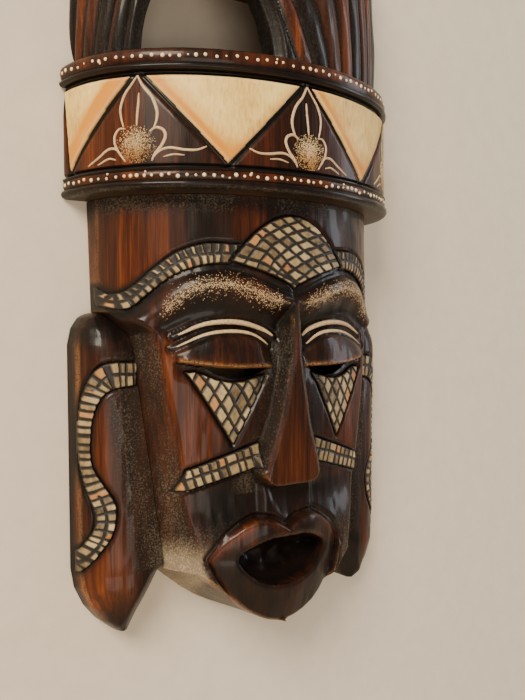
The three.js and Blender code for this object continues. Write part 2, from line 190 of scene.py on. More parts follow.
LIP_TOP = np.array([
    [0, -165.9], [3, -163.9], [6.5, -162.1], [11, -161.1],
    [15, -161.2], [20, -163.2], [26, -167], [30, -170.8],
    [33.8, -175.6],
])
LIP_LOW = spline([
    [33.4, -178.4], [32.3, -181.5], [30.3, -186], [26.6, -192],
    [20.3, -199], [12, -204.6], [5.5, -206.9], [0, -207.5],
], 40)
HALF_LIPS = np.vstack([LIP_TOP, LIP_LOW])
LIPS = np.vstack([HALF_LIPS, (HALF_LIPS * [-1, 1])[::-1][1:-1]])
LIPS[:, 0] += np.interp(-LIPS[:, 1], [160, 177, 190, 204], [-1.8, -2.2, -0.6, 1.0])
HALF_MOUTH = spline([
    [0, -169.0], [8, -169.5], [15, -171.6], [21.8, -175.9],
    [20, -181], [13.5, -186.8], [6, -189.6], [0, -190.2],
], 44)
MOUTH = np.vstack([HALF_MOUTH, (HALF_MOUTH * [-1, 1])[::-1][1:-1]]) + [MOUTH_X, 0]
NOSE_HALF = np.array([
    [-70.7, 1.3], [-94, 2.7], [-105, 4.7], [-117, 6.9],
    [-128, 10], [-138, 13.3], [-144, 14.5], [-150, 14.6],
])
EYE_SHIFT = 1.6


def lid_edge(half):
    """Height of the lower rim of the closed eyelid."""
    return -98.2 + 2.9 * (np.clip(half - 20, 0, 30) / 27) ** 2


def face_parts(x, z):
    """Depth of the head in front of the wall, before the inlay beds, and the masks used for its colour."""
    half = np.abs(x)
    edge = head_edge(z)
    skull = 50 * np.sqrt(np.clip(1 - (x / 70.5) ** 2, 0, 1))
    ledge_z = np.interp(half, [15.2, 48], [-139.6, -148.8])
    ledge = smooth(ledge_z - z, 0, 1.4) * smooth(half, 11, 15)
    cheek = 45.2 - 0.0043 * x * x - 1.4 * smooth(-z, 112, 150) - 2.2 * ledge + 2.2 * smooth(-z, 152, 172)
    side = np.where(z > -182, 20 + 2.2 * (edge - half), 5 * (edge - half))
    face = smin(cheek, side, 2.5)
    depth = lerp(skull, face, smooth(-z, 68, 82))
    # brows, sockets and lids
    arch = follow(half, z, BROW_ARCH)[0]
    depth += 1.5 * hump(arch, 4.2)
    foot = follow(half, z, BAND_FOOT)[0]
    depth -= 1.7 * hump(foot, 1.9)
    socket = follow(half, z, SOCKET)[0]
    depth -= 1.9 * hump(socket, 4.6)
    upper = follow(half, z, LID_UPPER)[0]
    lower = follow(half, z, LID_LOWER)[0]
    depth -= 0.9 * hump(upper - 1.7, 0.75) + 0.9 * hump(lower - 1.5, 0.75)
    lid_top = np.interp(half, LID_LOWER[::-1, 0], LID_LOWER[::-1, 1])
    rim = lid_edge(half)
    down = np.clip((lid_top - z) / np.maximum(lid_top - rim, 1), 0, 1)
    round_end = np.clip(1 - np.abs((half - 29) / 20.5) ** 3.2, 0, 1) ** 0.5
    lid = round_end * np.sin(np.clip(down * 1.25, 0, 1) * math.pi / 2) ** 0.85 * smooth(z - rim, -0.6, 0.4)
    depth += 3.3 * lid + 0.7 * hump(z - rim - 1.0, 1.0) * smooth(-(half - 47.5), 0, 2) * smooth(half, 9, 14)
    below = round_end * smooth(rim - z, 0, 0.9) * (1 - smooth(rim - z, 3.2, 8))
    depth -= 1.7 * below
    inner = hump(np.hypot(half - 9.5, z + 92), 4.5)
    depth -= 1.6 * inner
    # nose wedge
    fall = np.clip((-70.7 - z) / 76.7, 0, 1)
    across = np.abs(x + 1.8 * fall ** 2)
    nose_half = np.interp(-z, -NOSE_HALF[:, 0], NOSE_HALF[:, 1])
    front = 52.6 - 1.6 * fall ** 2 - 0.0035 * x * x - 1.3 * smooth(across, nose_half - 2.4, nose_half + 0.2)
    flank = front - np.clip(across - nose_half, 0, None) * 10 / (2.6 + 2.2 * fall)
    tip = -147.5 + 6.0 * np.clip(across / 14.6, 0, 1.25) ** 6
    nose_in = smooth(z, tip - 0.9, tip + 0.5) * smooth(-z, 69.8, 72.5)
    nose = np.where(across < nose_half, front, flank)
    nose = np.where(nose_in > 0, lerp(depth, smax(depth, nose, 2.2), nose_in), depth)
    nose_rise = nose - depth
    depth = nose
    # philtrum between nose and lip notch
    philtrum = smooth(-z, 146, 148) * (1 - smooth(-z, 160, 168))
    taper = np.interp(-z, [145, 167], [13, 1.5])
    hollow_out = 1 - 0.55 * np.clip(half / np.maximum(taper, 1), 0, 1)
    depth -= philtrum * 1.5 * smooth(taper - half, -1.8, 2.0) * hollow_out
    # lips
    lip_d = outside(x, z, LIPS)
    lip = 46.9 - 0.0088 * (x - MOUTH_X) ** 2 - 0.0058 * np.clip(-170 - z, 0, None) ** 2
    lip += 1.3 * hump(z + 166, 6) * smooth(-half, -24, -8)
    lip -= 1.3 * (1 - np.clip(-lip_d / 1.8, 0, 1)) ** 2
    corner = hump(np.hypot(np.abs(x - MOUTH_X) - 27.5, (z + 176.2) * 2.2), 5)
    lip -= 0.3 * corner
    mouth_d = outside(x, z, MOUTH)
    lip -= 1.0 * (1 - np.clip(mouth_d / 2.4, 0, 1)) ** 2
    bowl = np.sqrt(np.clip(1 - (1 - np.clip(-mouth_d / 10.5, 0, 1)) ** 2, 0, 1))
    bowl = 15.5 * bowl + 1.0 * noise2(x, z, 5, 31) * bowl * smooth(-mouth_d, 1, 6)
    lip = lip - np.where(mouth_d < 0, bowl, 0)
    on_lip = smooth(-lip_d, -0.7, 0.7)
    above = smooth(-z, 176, 180)
    crease = hump(lip_d - 1.1, 1.1) * (1 - above)
    depth -= 1.3 * crease
    depth = np.where(lip_d < 0.7, lerp(depth, np.maximum(lip, 0.5), on_lip), depth)
    masks = SimpleNamespace(
        half=half, edge=edge, cheek=cheek, side=side, arch=arch, foot=foot, socket=socket, upper=upper,
        lower=lower, lid=lid, below=below, nose_rise=nose_rise, across=across, nose_half=nose_half,
        nose_in=nose_in, lip_d=lip_d, mouth_d=mouth_d, rim=z - rim,
    )
    return depth, masks


def brow_shape(half, z):
    """The wavy band, whose inner end runs under the lens."""
    return np.maximum(outside(half, z, BROW_BAND), 0.7 - outside(half, z, LENS))


def eye_shape(half, z):
    return outside(half, z, EYE_TRIANGLE)


def strip_shape(half, z):
    return outside(half, z, CHEEK_STRIP)


def lens_shape(x, z):
    return outside(x, z, LENS)


def eye_half(x):
    """The eye triangles sit a little to the right of where the face's symmetry puts them."""
    return np.where(x < 0, -x + EYE_SHIFT, x - EYE_SHIFT)


def face_beds(x, z):
    """Signed distance to the nearest inlaid outline on the head."""
    half = np.abs(x)
    shapes = [lens_shape(x, z), brow_shape(half, z), eye_shape(eye_half(x), z), strip_shape(half, z)]
    return np.minimum.reduce(shapes)


def tool_marks(x, z):
    return 0.22 * noise2(x, z * 0.45, 6.5, 3) + 0.12 * noise2(x, z * 0.3, 2.4, 5)


def face_depth(x, z):
    depth, _ = face_parts(x, z)
    bed = face_beds(x, z)
    depth = depth - 1.1 * smooth(-bed, -0.5, 0.5) - 0.8 * hump(bed - 0.2, 0.8)
    depth = depth + tool_marks(x, z) * smooth(head_edge(z) - np.abs(x), 0, 4)
    return np.maximum(depth, 0.5)


class Chart:
    """A depth map on a regular grid, and how far each place stands above or below what surrounds it."""

    def __init__(self, depth, x_range, z_range, step=0.6):
        self.step = step
        self.x = np.arange(x_range[0], x_range[1] + step, step)
        self.z = np.arange(z_range[0], z_range[1] + step, step)
        grid_x, grid_z = np.meshgrid(self.x, self.z, indexing="ij")
        self.depth = depth(grid_x, grid_z)
        self.fine = self.depth - self.blurred(self.depth, 2)

    @staticmethod
    def blurred(values, reach):
        kernel = np.hanning(2 * reach + 3)[1:-1]
        kernel /= kernel.sum()
        for axis in (0, 1):
            padded = np.pad(values, [(reach, reach) if a == axis else (0, 0) for a in (0, 1)], mode="edge")
            size = values.shape[axis]
            values = sum(k * np.take(padded, range(i, i + size), axis=axis) for i, k in enumerate(kernel))
        return values

    def sample(self, values, x, z):
        u = np.clip((x - self.x[0]) / self.step, 0, len(self.x) - 1.001)
        v = np.clip((z - self.z[0]) / self.step, 0, len(self.z) - 1.001)
        i, j = u.astype(int), v.astype(int)
        f, g = u - i, v - j
        top = lerp(values[i, j], values[i + 1, j], f)
        low = lerp(values[i, j + 1], values[i + 1, j + 1], f)
        return lerp(top, low, g)


# ---------- meshes ----------
def place(points):
    out = np.array(points, float) * 0.001
    out[:, 2] -= HANG * 0.001
    return out


def make(name, points, faces, shade=40):
    mesh = bpy.data.meshes.new(name)
    mesh.from_pydata(place(points).tolist(), [], [list(map(int, f)) for f in faces])
    mesh.validate()
    mesh.update()
    mesh.polygons.foreach_set("use_smooth", [True] * len(mesh.polygons))
    if shade:
        mesh.set_sharp_from_angle(angle=math.radians(shade))
    obj = bpy.data.objects.new(name, mesh)
    bpy.context.scene.collection.objects.link(obj)
    return obj


def loft(rings):
    """Closed surface through outlines that have equal numbers of points."""
    rings = np.asarray(rings, float)
    rows, count = rings.shape[:2]
    points = rings.reshape(-1, 3)
    a = np.arange(count)
    b = (a + 1) % count
    quads = np.vstack([np.column_stack([a, b, b + count, a + count]) + r * count for r in range(rows - 1)])
    middle = [rings[0].mean(0), rings[-1].mean(0)]
    points = np.vstack([points, middle])
    n = rows * count
    last = (rows - 1) * count
    caps = [[j, i, n] for i, j in zip(a, b)] + [[last + i, last + j, n + 1] for i, j in zip(a, b)]
    faces = quads.tolist() + caps
    tri = np.array([(f[0], f[i], f[i + 1]) for f in faces for i in range(1, len(f) - 1)])
    volume = np.einsum("ij,ij->i", points[tri[:, 0]], np.cross(points[tri[:, 1]], points[tri[:, 2]])).sum()
    if volume < 0:
        faces = [f[::-1] for f in faces]
    return points, faces


def grid_faces(distance):
    """Cells of a grid whose four corners all lie inside the outline that `distance` is measured from."""
    index = np.arange(distance.size).reshape(distance.shape)
    corners = (np.s_[:-1, :-1], np.s_[:-1, 1:], np.s_[1:, 1:], np.s_[1:, :-1])
    return np.stack([index[c] for c in corners], -1)[most(*(distance[c] for c in corners)) < 0]


def wall_line(x, rows):
    """Where an edge of a carving meets the wall, as one column of a lofted grid."""
    return np.stack([x, 0 * rows, rows], -1)[:, None]


def closed_sheet(top, bottom, quads):
    """Plate between two matching point sets that share the same cells."""
    used = np.unique(quads)
    renumber = np.full(len(top), -1)
    renumber[used] = np.arange(len(used))
    quads = renumber[quads]
    count = len(used)
    edges = np.vstack([quads[:, [i, (i + 1) % 4]] for i in range(4)])
    key = np.sort(edges, 1)
    _, first, times = np.unique(key, axis=0, return_index=True, return_counts=True)
    rim = edges[first[times == 1]]
    walls = np.column_stack([rim[:, 1], rim[:, 0], rim[:, 0] + count, rim[:, 1] + count])
    points = np.vstack([top[used], bottom[used]])
    return points, np.vstack([quads, quads[:, ::-1] + count, walls]), used


def solid_cut(obj, cutters):
    for cutter in cutters:
        modifier = obj.modifiers.new("cut", "BOOLEAN")
        modifier.operation = "DIFFERENCE"
        modifier.solver = "MANIFOLD"
        modifier.object = cutter
    graph = bpy.context.evaluated_depsgraph_get()
    mesh = bpy.data.meshes.new_from_object(obj.evaluated_get(graph))
    obj.modifiers.clear()
    old = obj.data
    obj.data = mesh
    bpy.data.meshes.remove(old)
    for cutter in cutters:
        data = cutter.data
        bpy.data.objects.remove(cutter)
        bpy.data.meshes.remove(data)
    mesh.set_sharp_from_angle(angle=math.radians(40))
    return obj


def coordinates(obj):
    mesh = obj.data
    co = np.empty(len(mesh.vertices) * 3, np.float32)
    mesh.vertices.foreach_get("co", co)
    co = co.reshape(-1, 3).astype(float) * 1000
    co[:, 2] += HANG
    return co[:, 0], co[:, 1], co[:, 2]


def paint(obj, **fields):
    for name, values in fields.items():
        layer = obj.data.attributes.new(name, "FLOAT", "POINT")
        layer.data.foreach_set("value", np.clip(values, 0, 1).astype(np.float32))


def paint_both(obj, used, **fields):
    """Paint a closed sheet: its lower points take the values of those above them."""
    paint(obj, **{name: np.tile(values.ravel()[used], 2) for name, values in fields.items()})


def paint_wood(obj, raw, black, orange, dust=0.0, wear=0.0, spray=0.0):
    """Point masks of wood(); nothing lies on the raw, unfinished parts."""
    clear = 1 - raw
    paint(obj, black=black * clear, orange=orange * clear, dust=dust * clear, wear=wear * clear,
          spray=spray * clear, raw=raw)


def prism(outline, front=70.0, back=-3.0):
    """Cutter through the thickness of the mask from an (x, height) outline."""
    outline = np.asarray(outline, float)
    rings = [[[x, -front, z] for x, z in outline], [[x, -back, z] for x, z in outline]]
    return make("cutter", *loft(rings), shade=None)


HEAD_HOLLOW = [
    (-20, 57, 37), (-50, 56, 35), (-80, 46, 33), (-112, 42, 29),
    (-140, 36, 22), (-166, 28, 13), (-192, 16, 6),
]


def hollow_cutter(rows):
    """Gouged hollow open to the wall, from rows of (height, half width, depth)."""
    turn = np.linspace(0, math.pi, 60)
    table = np.array(rows, float)
    rings = []
    for z in np.linspace(table[0, 0], table[-1, 0], 90):
        half = np.interp(-z, -table[:, 0], table[:, 1])
        deep = np.interp(-z, -table[:, 0], table[:, 2])
        gouge = 0.55 * np.abs(np.sin(turn * 13 + 0.6 * math.sin(z * 0.21))) + 0.3 * math.sin(z * 0.55)
        rings.append(np.column_stack([
            (half - gouge) * np.cos(turn), 4 - (deep - gouge + 4) * np.sin(turn), np.full(60, z),
        ]))
    return make("cutter", *loft(rings), shade=None)


# ---------- materials ----------
class Shader:
    def __init__(self, name):
        self.material = bpy.data.materials.new(name)
        self.material.use_nodes = True
        self.tree = self.material.node_tree
        self.tree.nodes.clear()
        self.out = self.node("OutputMaterial")
        self.surface = self.node("BsdfPrincipled")
        self.join(self.surface.outputs[0], self.out.inputs["Surface"])
        self.where = self.node("TexCoord").outputs["Object"]

    def node(self, kind, **inputs):
        node = self.tree.nodes.new("ShaderNode" + kind)
        for name, value in inputs.items():
            self.join(value, node.inputs[name.replace("_", " ")])
        return node

    def join(self, source, socket):
        if hasattr(source, "is_output"):
            self.tree.links.new(source, socket)
        elif isinstance(source, tuple) and len(source) == 3 and socket.type == "RGBA":
            socket.default_value = (*source, 1)
        else:
            socket.default_value = source

    def math(self, operation, a, b=0.0, c=0.0, clamp=False):
        node = self.node("Math")
        node.operation = operation
        node.use_clamp = clamp
        for value, socket in zip((a, b, c), node.inputs):
            self.join(value, socket)
        return node.outputs[0]

    def add(self, a, b):
        return self.math("ADD", a, b)

    def times(self, a, b, clamp=False):
        return self.math("MULTIPLY", a, b, clamp=clamp)

    def times_add(self, a, b, c, clamp=False):
        return self.math("MULTIPLY_ADD", a, b, c, clamp)

    def mix(self, share, a, b):
        node = self.node("Mix")
        node.data_type = "RGBA"
        for value, socket in ((share, "Factor"), (a, 6), (b, 7)):
            self.join(value, node.inputs[socket])
        return node.outputs[2]

    def noise(self, stretch, scale, detail=3.0, rough=0.55, warp=0.0):
        """Noise whose pattern is stretched along an axis where that axis's factor is below one."""
        vector = self.node("Mapping", Vector=self.where, Scale=stretch).outputs[0]
        settings = {"Scale": scale, "Detail": detail, "Roughness": rough, "Distortion": warp}
        return self.node("TexNoise", Vector=vector, **settings).outputs[0]

    def ramp(self, value, *stops):
        node = self.node("ValToRGB", Fac=value)
        ramp = node.color_ramp
        while len(ramp.elements) < len(stops):
            ramp.elements.new(0.5)
        for element, (position, colour) in zip(ramp.elements, stops):
            element.position = position
            element.color = (*colour, 1)
        return node.outputs[0]

    def step(self, value, low, high):
        node = self.node("MapRange")
        node.interpolation_type = "SMOOTHSTEP"
        for name, setting in (("Value", value), ("From Min", low), ("From Max", high)):
            self.join(setting, node.inputs[name])
        return node.outputs["Result"]

    def mask(self, name):
        node = self.node("Attribute")
        node.attribute_name = name
        return node.outputs["Fac"]

    def bump(self, height, strength, distance):
        node = self.node("Bump", Strength=strength, Distance=distance, Height=height)
        self.join(node.outputs[0], self.surface.inputs["Normal"])

    def finish(self, colour, roughness, **constants):
        for name, value in {"Base_Color": colour, "Roughness": roughness, **constants}.items():
            self.join(value, self.surface.inputs[name.replace("_", " ")])
        return self.material


EVEN = (1, 1, 1)
BLACK = (0.0045, 0.0038, 0.0034)
UMBER = (0.018, 0.0072, 0.0042)
RED_BROWN = (0.052, 0.0135, 0.0058)
ORANGE = (0.215, 0.052, 0.0095)
AMBER = (0.430, 0.140, 0.028)
DUST = (0.330, 0.265, 0.180)


def wood(name, warm=0.5, lacquer=0.4):
    """Stained and waxed hardwood with the grain running upright.

    Point masks: black paint and painted shade, orange bare patches, dust, worn edges, sprayed cream and raw
    unfinished wood.
    """
    s = Shader(name)
    streak = s.noise((1, 1, 0.06), 190, 6, 0.66, 0.5)
    broad = s.noise((1, 1, 0.12), 42, 3, 0.5, 0.4)
    fibre = s.noise((1, 1, 0.03), 900, 3, 0.7)
    pore = s.noise((1, 1, 0.05), 1500, 2, 0.6)
    speck = s.noise(EVEN, 1300, 2, 0.7)
    blotch = s.noise((1, 1, 0.6), 60, 4, 0.6)
    tone = s.times_add(streak, 0.62, s.times(broad, 0.5))
    tone = s.times_add(s.math("SUBTRACT", fibre, 0.5), 0.42, tone)
    tone = s.add(tone, warm - 0.60)
    dark = s.ramp(tone, (0.26, BLACK), (0.42, UMBER), (0.56, RED_BROWN), (0.78, (0.105, 0.027, 0.0085)))
    lit = s.ramp(tone, (0.22, (0.030, 0.0095, 0.005)), (0.40, (0.085, 0.020, 0.0065)),
                 (0.56, ORANGE), (0.76, AMBER))
    orange = s.times(s.mask("orange"), s.add(s.times(blotch, 0.7), 0.55), clamp=True)
    colour = s.mix(orange, dark, lit)
    crack = s.step(s.noise((1, 1, 0.022), 560, 3, 0.6), 0.60, 0.70)
    colour = s.mix(s.times(crack, 0.6), colour, BLACK)
    raw = s.ramp(tone, (0.2, (0.06, 0.028, 0.013)), (0.5, (0.15, 0.080, 0.040)), (0.8, (0.30, 0.18, 0.10)))
    colour = s.mix(s.mask("raw"), colour, raw)
    ragged = s.times(s.mask("wear"), s.step(s.add(speck, s.times(fibre, 0.6)), 0.55, 0.95))
    colour = s.mix(ragged, colour, (0.46, 0.22, 0.085))
    # the black mask holds black paint and also painted shade
    black_paint_and_shade = s.times(s.mask("black"), s.add(s.times(blotch, 0.55), 0.72), clamp=True)
    colour = s.mix(black_paint_and_shade, colour, BLACK)
    settled = s.times(s.mask("dust"), s.step(s.add(speck, s.times(blotch, 0.5)), 0.72, 0.96))
    even = s.times(s.math("POWER", s.mask("dust"), 4.0), 0.7)
    settled = s.times_add(settled, 0.55, even, clamp=True)
    colour = s.mix(settled, colour, DUST)
    loose = s.times(s.step(speck, 0.72, 0.80), 0.22)
    colour = s.mix(loose, colour, (0.30, 0.24, 0.15))
    grit = s.noise(EVEN, 2300, 2, 0.7)
    grit = s.times(s.math("SUBTRACT", grit, 0.5), 2.6)
    sprayed = s.step(s.times_add(s.math("POWER", s.mask("spray"), 1.6), 0.62, grit), 0.38, 0.66)
    sprayed = s.times(sprayed, s.step(s.mask("spray"), 0.03, 0.25))
    colour = s.mix(sprayed, colour, (0.42, 0.31, 0.175))
    rough = s.times_add(streak, 0.22, lacquer - 0.12)
    rough = s.times_add(s.mask("dust"), 0.32, rough)
    rough = s.times_add(s.mask("raw"), 0.35, rough)
    rough = s.times_add(sprayed, 0.25, rough, clamp=True)
    height = s.times_add(fibre, 0.5, s.times(pore, 0.5))
    height = s.times_add(streak, 0.9, height)
    s.bump(height, 0.35, 0.00035)
    return s.finish(colour, rough, Specular_IOR_Level=0.12, Coat_Weight=0.15, Coat_Roughness=0.12)


def tesserae():
    """Pale scraped tiles with black scored lines between them, and painted shade on the tiles next to the
    nose.
    """
    s = Shader("tesserae_paint")
    grime = s.noise((1, 1, 0.7), 330, 4, 0.65)
    fine = s.noise(EVEN, 1400, 3, 0.7)
    shade = s.times_add(s.mask("tone"), 0.40, s.times(grime, 0.66))
    colour = s.ramp(shade, (0.24, (0.045, 0.030, 0.016)), (0.40, (0.16, 0.112, 0.055)),
                    (0.62, (0.36, 0.262, 0.130)), (0.88, (0.60, 0.47, 0.265)))
    colour = s.mix(s.times(s.mask("orange"), 0.8), colour, (0.42, 0.15, 0.035))
    stain = s.step(s.add(fine, s.times(grime, 0.6)), 0.86, 1.05)
    colour = s.mix(s.times(stain, 0.5), colour, (0.10, 0.065, 0.04))
    # black scored lines, and painted shade on tiles next to the nose
    colour = s.mix(s.mask("groove"), colour, (0.012, 0.010, 0.008))
    s.bump(s.times_add(fine, 0.6, grime), 0.4, 0.0003)
    return s.finish(colour, 0.5, Specular_IOR_Level=0.3, Coat_Weight=0.08, Coat_Roughness=0.3)


def cream_panel():
    """Cream painted panels with burnt orange along the edges, a painted highlight just inside the edges and
    faint combed strokes.
    """
    s = Shader("cream_panel_paint")
    swirl = s.noise(EVEN, 30, 2, 0.5, 1.4)
    comb = s.noise((3.2, 3.2, 0.9), 260, 3, 0.6, 0.5)
    fine = s.noise(EVEN, 900, 3, 0.7)
    base = s.ramp(s.times_add(comb, 0.5, s.times(swirl, 0.5)),
                  (0.30, (0.50, 0.28, 0.07)), (0.50, (0.76, 0.52, 0.155)), (0.72, (0.90, 0.69, 0.28)))
    burn = s.times(s.mask("burn"), s.add(s.times(swirl, 1.6), 0.45), clamp=True)
    colour = s.mix(burn, base, (0.60, 0.24, 0.018))
    # painted highlight: a pale line just inside the panel edge
    colour = s.mix(s.mask("rim"), colour, (0.86, 0.72, 0.47))
    nick = s.times(s.step(fine, 0.70, 0.78), 0.35)
    colour = s.mix(nick, colour, (0.28, 0.13, 0.05))
    s.bump(s.times_add(fine, 0.4, comb), 0.3, 0.0003)
    return s.finish(colour, 0.46, Specular_IOR_Level=0.2, Coat_Weight=0.06, Coat_Roughness=0.25)


def pale_paint(name, colour, dirt, golden=None):
    s = Shader(name)
    fine = s.noise(EVEN, 1200, 3, 0.7)
    if golden:
        colour = s.mix(s.mask("tone"), colour, golden)
    tint = s.mix(s.step(fine, 0.42, 0.75), colour, dirt)
    s.bump(fine, 0.3, 0.0002)
    return s.finish(tint, 0.5, Coat_Weight=0.1, Coat_Roughness=0.3)


def zinc():
    s = Shader("zinc_plate")
    brushed = s.noise((0.15, 1, 3), 700, 3, 0.6)
    spot = s.noise(EVEN, 260, 4, 0.6)
    colour = s.mix(s.step(spot, 0.52, 0.75), (0.50, 0.51, 0.53), (0.30, 0.28, 0.26))
    s.bump(brushed, 0.25, 0.0002)
    return s.finish(colour, s.times_add(brushed, 0.3, 0.24), Metallic=0.9)


FACE_WOOD = wood("face_wood", warm=0.49, lacquer=0.36)
EAR_WOOD = wood("ear_wood", warm=0.49, lacquer=0.38)
BAND_WOOD = wood("band_wood_finish", warm=0.47, lacquer=0.36)
RING_WOOD = wood("ring_wood_finish", warm=0.50, lacquer=0.36)
CREST_WOOD = wood("crest_wood_finish", warm=0.49, lacquer=0.40)
TILES = tesserae()
PANEL = cream_panel()
LINE_PAINT = pale_paint("line_paint", (0.56, 0.41, 0.235), (0.30, 0.185, 0.09))
DOT_PAINT = pale_paint("dot_paint", (0.86, 0.72, 0.46), (0.62, 0.42, 0.20))
POLLEN_PAINT = pale_paint("pollen_paint", (0.72, 0.56, 0.32), (0.42, 0.23, 0.07), golden=(0.40, 0.20, 0.05))
ZINC = zinc()


def settle(obj, material, nodes):
    obj.data.materials.clear()
    obj.data.materials.append(material)
    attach(obj, "root")
    if nodes:
        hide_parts(*nodes)
    return obj


# ---------- head ----------
def eye_slit_outline(side):
    t = np.linspace(-1, 1, 25)
    x = 24.2 + 13.8 * t
    low = np.column_stack([x, lid_edge(x) - 0.3 - 4.3 * (1 - t * t)])
    top = np.column_stack([x, lid_edge(x) - 0.2])[::-1][1:-1]
    return np.vstack([low, top]) * [side, 1]


def build_face():
    rows = np.concatenate([np.linspace(HEAD_TOP, -181.6, 256), [-182.0], np.linspace(-182.5, -203.6, 46),
                           np.linspace(-203.9, CHIN, 24)])
    u = np.linspace(-1, 1, 271)
    across = 0.55 * u + 0.45 * np.sin(u * math.pi / 2)
    edge = head_edge(rows)[:, None]
    x = edge * across[None, :]
    z = np.broadcast_to(rows[:, None], x.shape)
    depth = face_depth(x, z)
    depth[:, 0] = depth[:, -1] = 0.5
    front = np.stack([x, -depth, z], -1)
    rings = np.concatenate([wall_line(-edge[:, 0], rows), front, wall_line(edge[:, 0], rows)], 1)
    obj = make("face_carving", *loft(rings))
    slits = [prism(eye_slit_outline(side)) for side in (-1, 1)]
    return solid_cut(obj, [hollow_cutter(HEAD_HOLLOW), *slits])


face_chart = Chart(face_depth, (-72, 72), (-210, -28))


def colour_face(obj):
    x, y, z = coordinates(obj)
    m = face_parts(x, z)[1]
    half, left = m.half, x < 0
    depth = -y
    fine = face_chart.sample(face_chart.fine, x, z)
    skin_depth = face_chart.sample(face_chart.depth, x, z)
    below_skin = skin_depth - depth - 7 * (m.mouth_d < 0.8)
    hidden = np.where(y > -0.3, 1.0, smooth(below_skin, 2.0, 3.5) * (half < m.edge - 1.5))
    bed = face_beds(x, z)
    cloud = noise2(x, z * 0.5, 14, 41)
    flank = smooth(m.nose_rise, 0.2, 1.2) * smooth(m.across - m.nose_half, -1.6, 0.6)
    beside = hump((m.across - m.nose_half - 3) / 4.5, 1) * smooth(-z, 84, 94) * (z > -150)
    side = smooth(m.cheek - m.side, -1.5, 3) * smooth(-z, 72, 84) * (m.lip_d > 0)
    around_lips = m.lip_d > 0
    jaw = (z < -158) * around_lips * smooth(m.lip_d, 0.5, 4)
    under_ring = smooth(z, -38, -29.5)
    lid_lines = np.maximum(hump(m.upper, 2.9), hump(m.lower, 2.4)) * (z > -96)
    under_nose = smooth(-z, 145.4, 147) * (1 - smooth(-z, 166, 172)) * smooth(-half, -24, -15)
    inner_cheek = smooth(-(half - 24), -3, 8) * smooth(-z, 92, 100) * (z > -166)
    black = most(
        0.95 * smooth(-fine, 0.10, 0.45),
        hump(bed - 0.1, 1.3),
        smooth(-bed, -0.4, 0.2),
        0.95 * hump(m.foot, 2.6),
        # painted shade in the eye socket under the brow
        0.75 * hump(m.socket, 4.5) + 0.2 * hump(m.socket, 7),
        0.95 * lid_lines * (m.lid < 0.35),
        # painted shade under the overhanging eyelid rim
        0.9 * m.below * (half > 8),
        # painted shadow in the recess under the nose, down to the upper lip
        0.8 * under_nose,
        0.5 * smooth(-z, 150, 154) * around_lips * smooth(-half, -44, -34),
        # painted shade: the inside of the mouth hollow is painted near black
        0.9 * smooth(-m.mouth_d, -0.8, 1.0),
        0.85 * flank,
        0.75 * beside,
        0.85 * side * (0.8 + 0.2 * cloud),
        0.55 * inner_cheek * (1 - m.lid),
        0.75 * smooth(-z, 146, 150) * around_lips * smooth(-half, -43, -36),
        0.6 * (m.lip_d < 0) * (m.mouth_d > 0) * smooth(-z, 172, 180),
        0.35 * m.lid,
        # painted shadow on the top of the face just under the lower ring
        0.75 * under_ring,
        smooth(z, -70, -60) * np.clip(0.25 - 0.7 * noise2(x, z * 0.3, 16, 45), 0, 0.7),
    )
    black = black * (1 - 0.7 * jaw * smooth(-z, 160, 180) * left)
    nose_front = m.nose_in * smooth(m.nose_half - m.across, -0.5, 1.2) * smooth(-z, 76, 88)
    cheek_patch = hump((half - 40 + 0.12 * (z + 120)) / 9, 1)
    cheek_patch = cheek_patch * smooth(-z, 92, 104) * (1 - smooth(-z, 138, 147))
    on_lid = hump((half - 40) / 11, 1) * m.lid * smooth(-z, 90, 96)
    neck = smooth(z, -70, -62) * np.clip(0.1 + 0.85 * noise2(x, z * 0.25, 12, 43), 0, 1)
    face_side = hump((half - 50) / 5, 1) * smooth(-z, 82, 90) * (1 - smooth(-z, 150, 176)) * left
    orange = most(
        0.95 * nose_front * (0.7 + 0.4 * cloud),
        cheek_patch * np.where(left, 0.85, 0.4),
        0.7 * on_lid * np.where(left, 1, 0.4),
        neck * 0.6 * (1 - 0.7 * smooth(z, -42, -30)),
        0.5 * face_side,
        np.where(left, 0.85, 0.45) * hump(m.lip_d + 1.6, 2.2) * smooth(z, -181, -176),
        0.7 * hump(m.lip_d + 0.5, 0.9) * (z < -181) * left,
    )
    wear = np.maximum(
        smooth(fine, 0.25, 0.8) * (0.55 + 0.45 * noise2(x, z, 8, 47)) * smooth(np.abs(m.mouth_d), 1.5, 3),
        0.9 * hump((m.rim - 0.4) / 0.9, 1) * (m.lid > 0.05) * (half < 48),
    )
    dust = most(
        0.55 * np.maximum(flank, beside) * smooth(-z, 76, 90) * (0.7 + 0.3 * cloud),
        (0.34 + 0.22 * cloud) * side * smooth(-z, 76, 92) * np.where(left, 1, 0.4),
        np.where(left, 0.95, 0.5) * jaw * smooth(-z, 158, 178),
        0.45 * under_ring,
    )
    spray = (1 - 0.4 * smooth(half, 38, 50)) * hump(m.arch + 0.5, 1.3 + 0.7 * smooth(half, 6, 44))
    spray = spray * smooth(-(half - 51), 0, 9) * (z < -58) * (m.nose_rise < 1.5)
    # Painted shade: the walls round the eye slits are painted black and kept off the raw wood, so the slits
    # read as dark openings.
    slit = (outside(half, z, eye_slit_outline(1)) < 5) & (z < lid_edge(half) + 1.5)
    black = np.where(slit & (skin_depth - depth > 0.8), 1.0, black)
    paint_wood(obj, np.where(slit, 0, hidden), black, orange, dust, wear, spray)


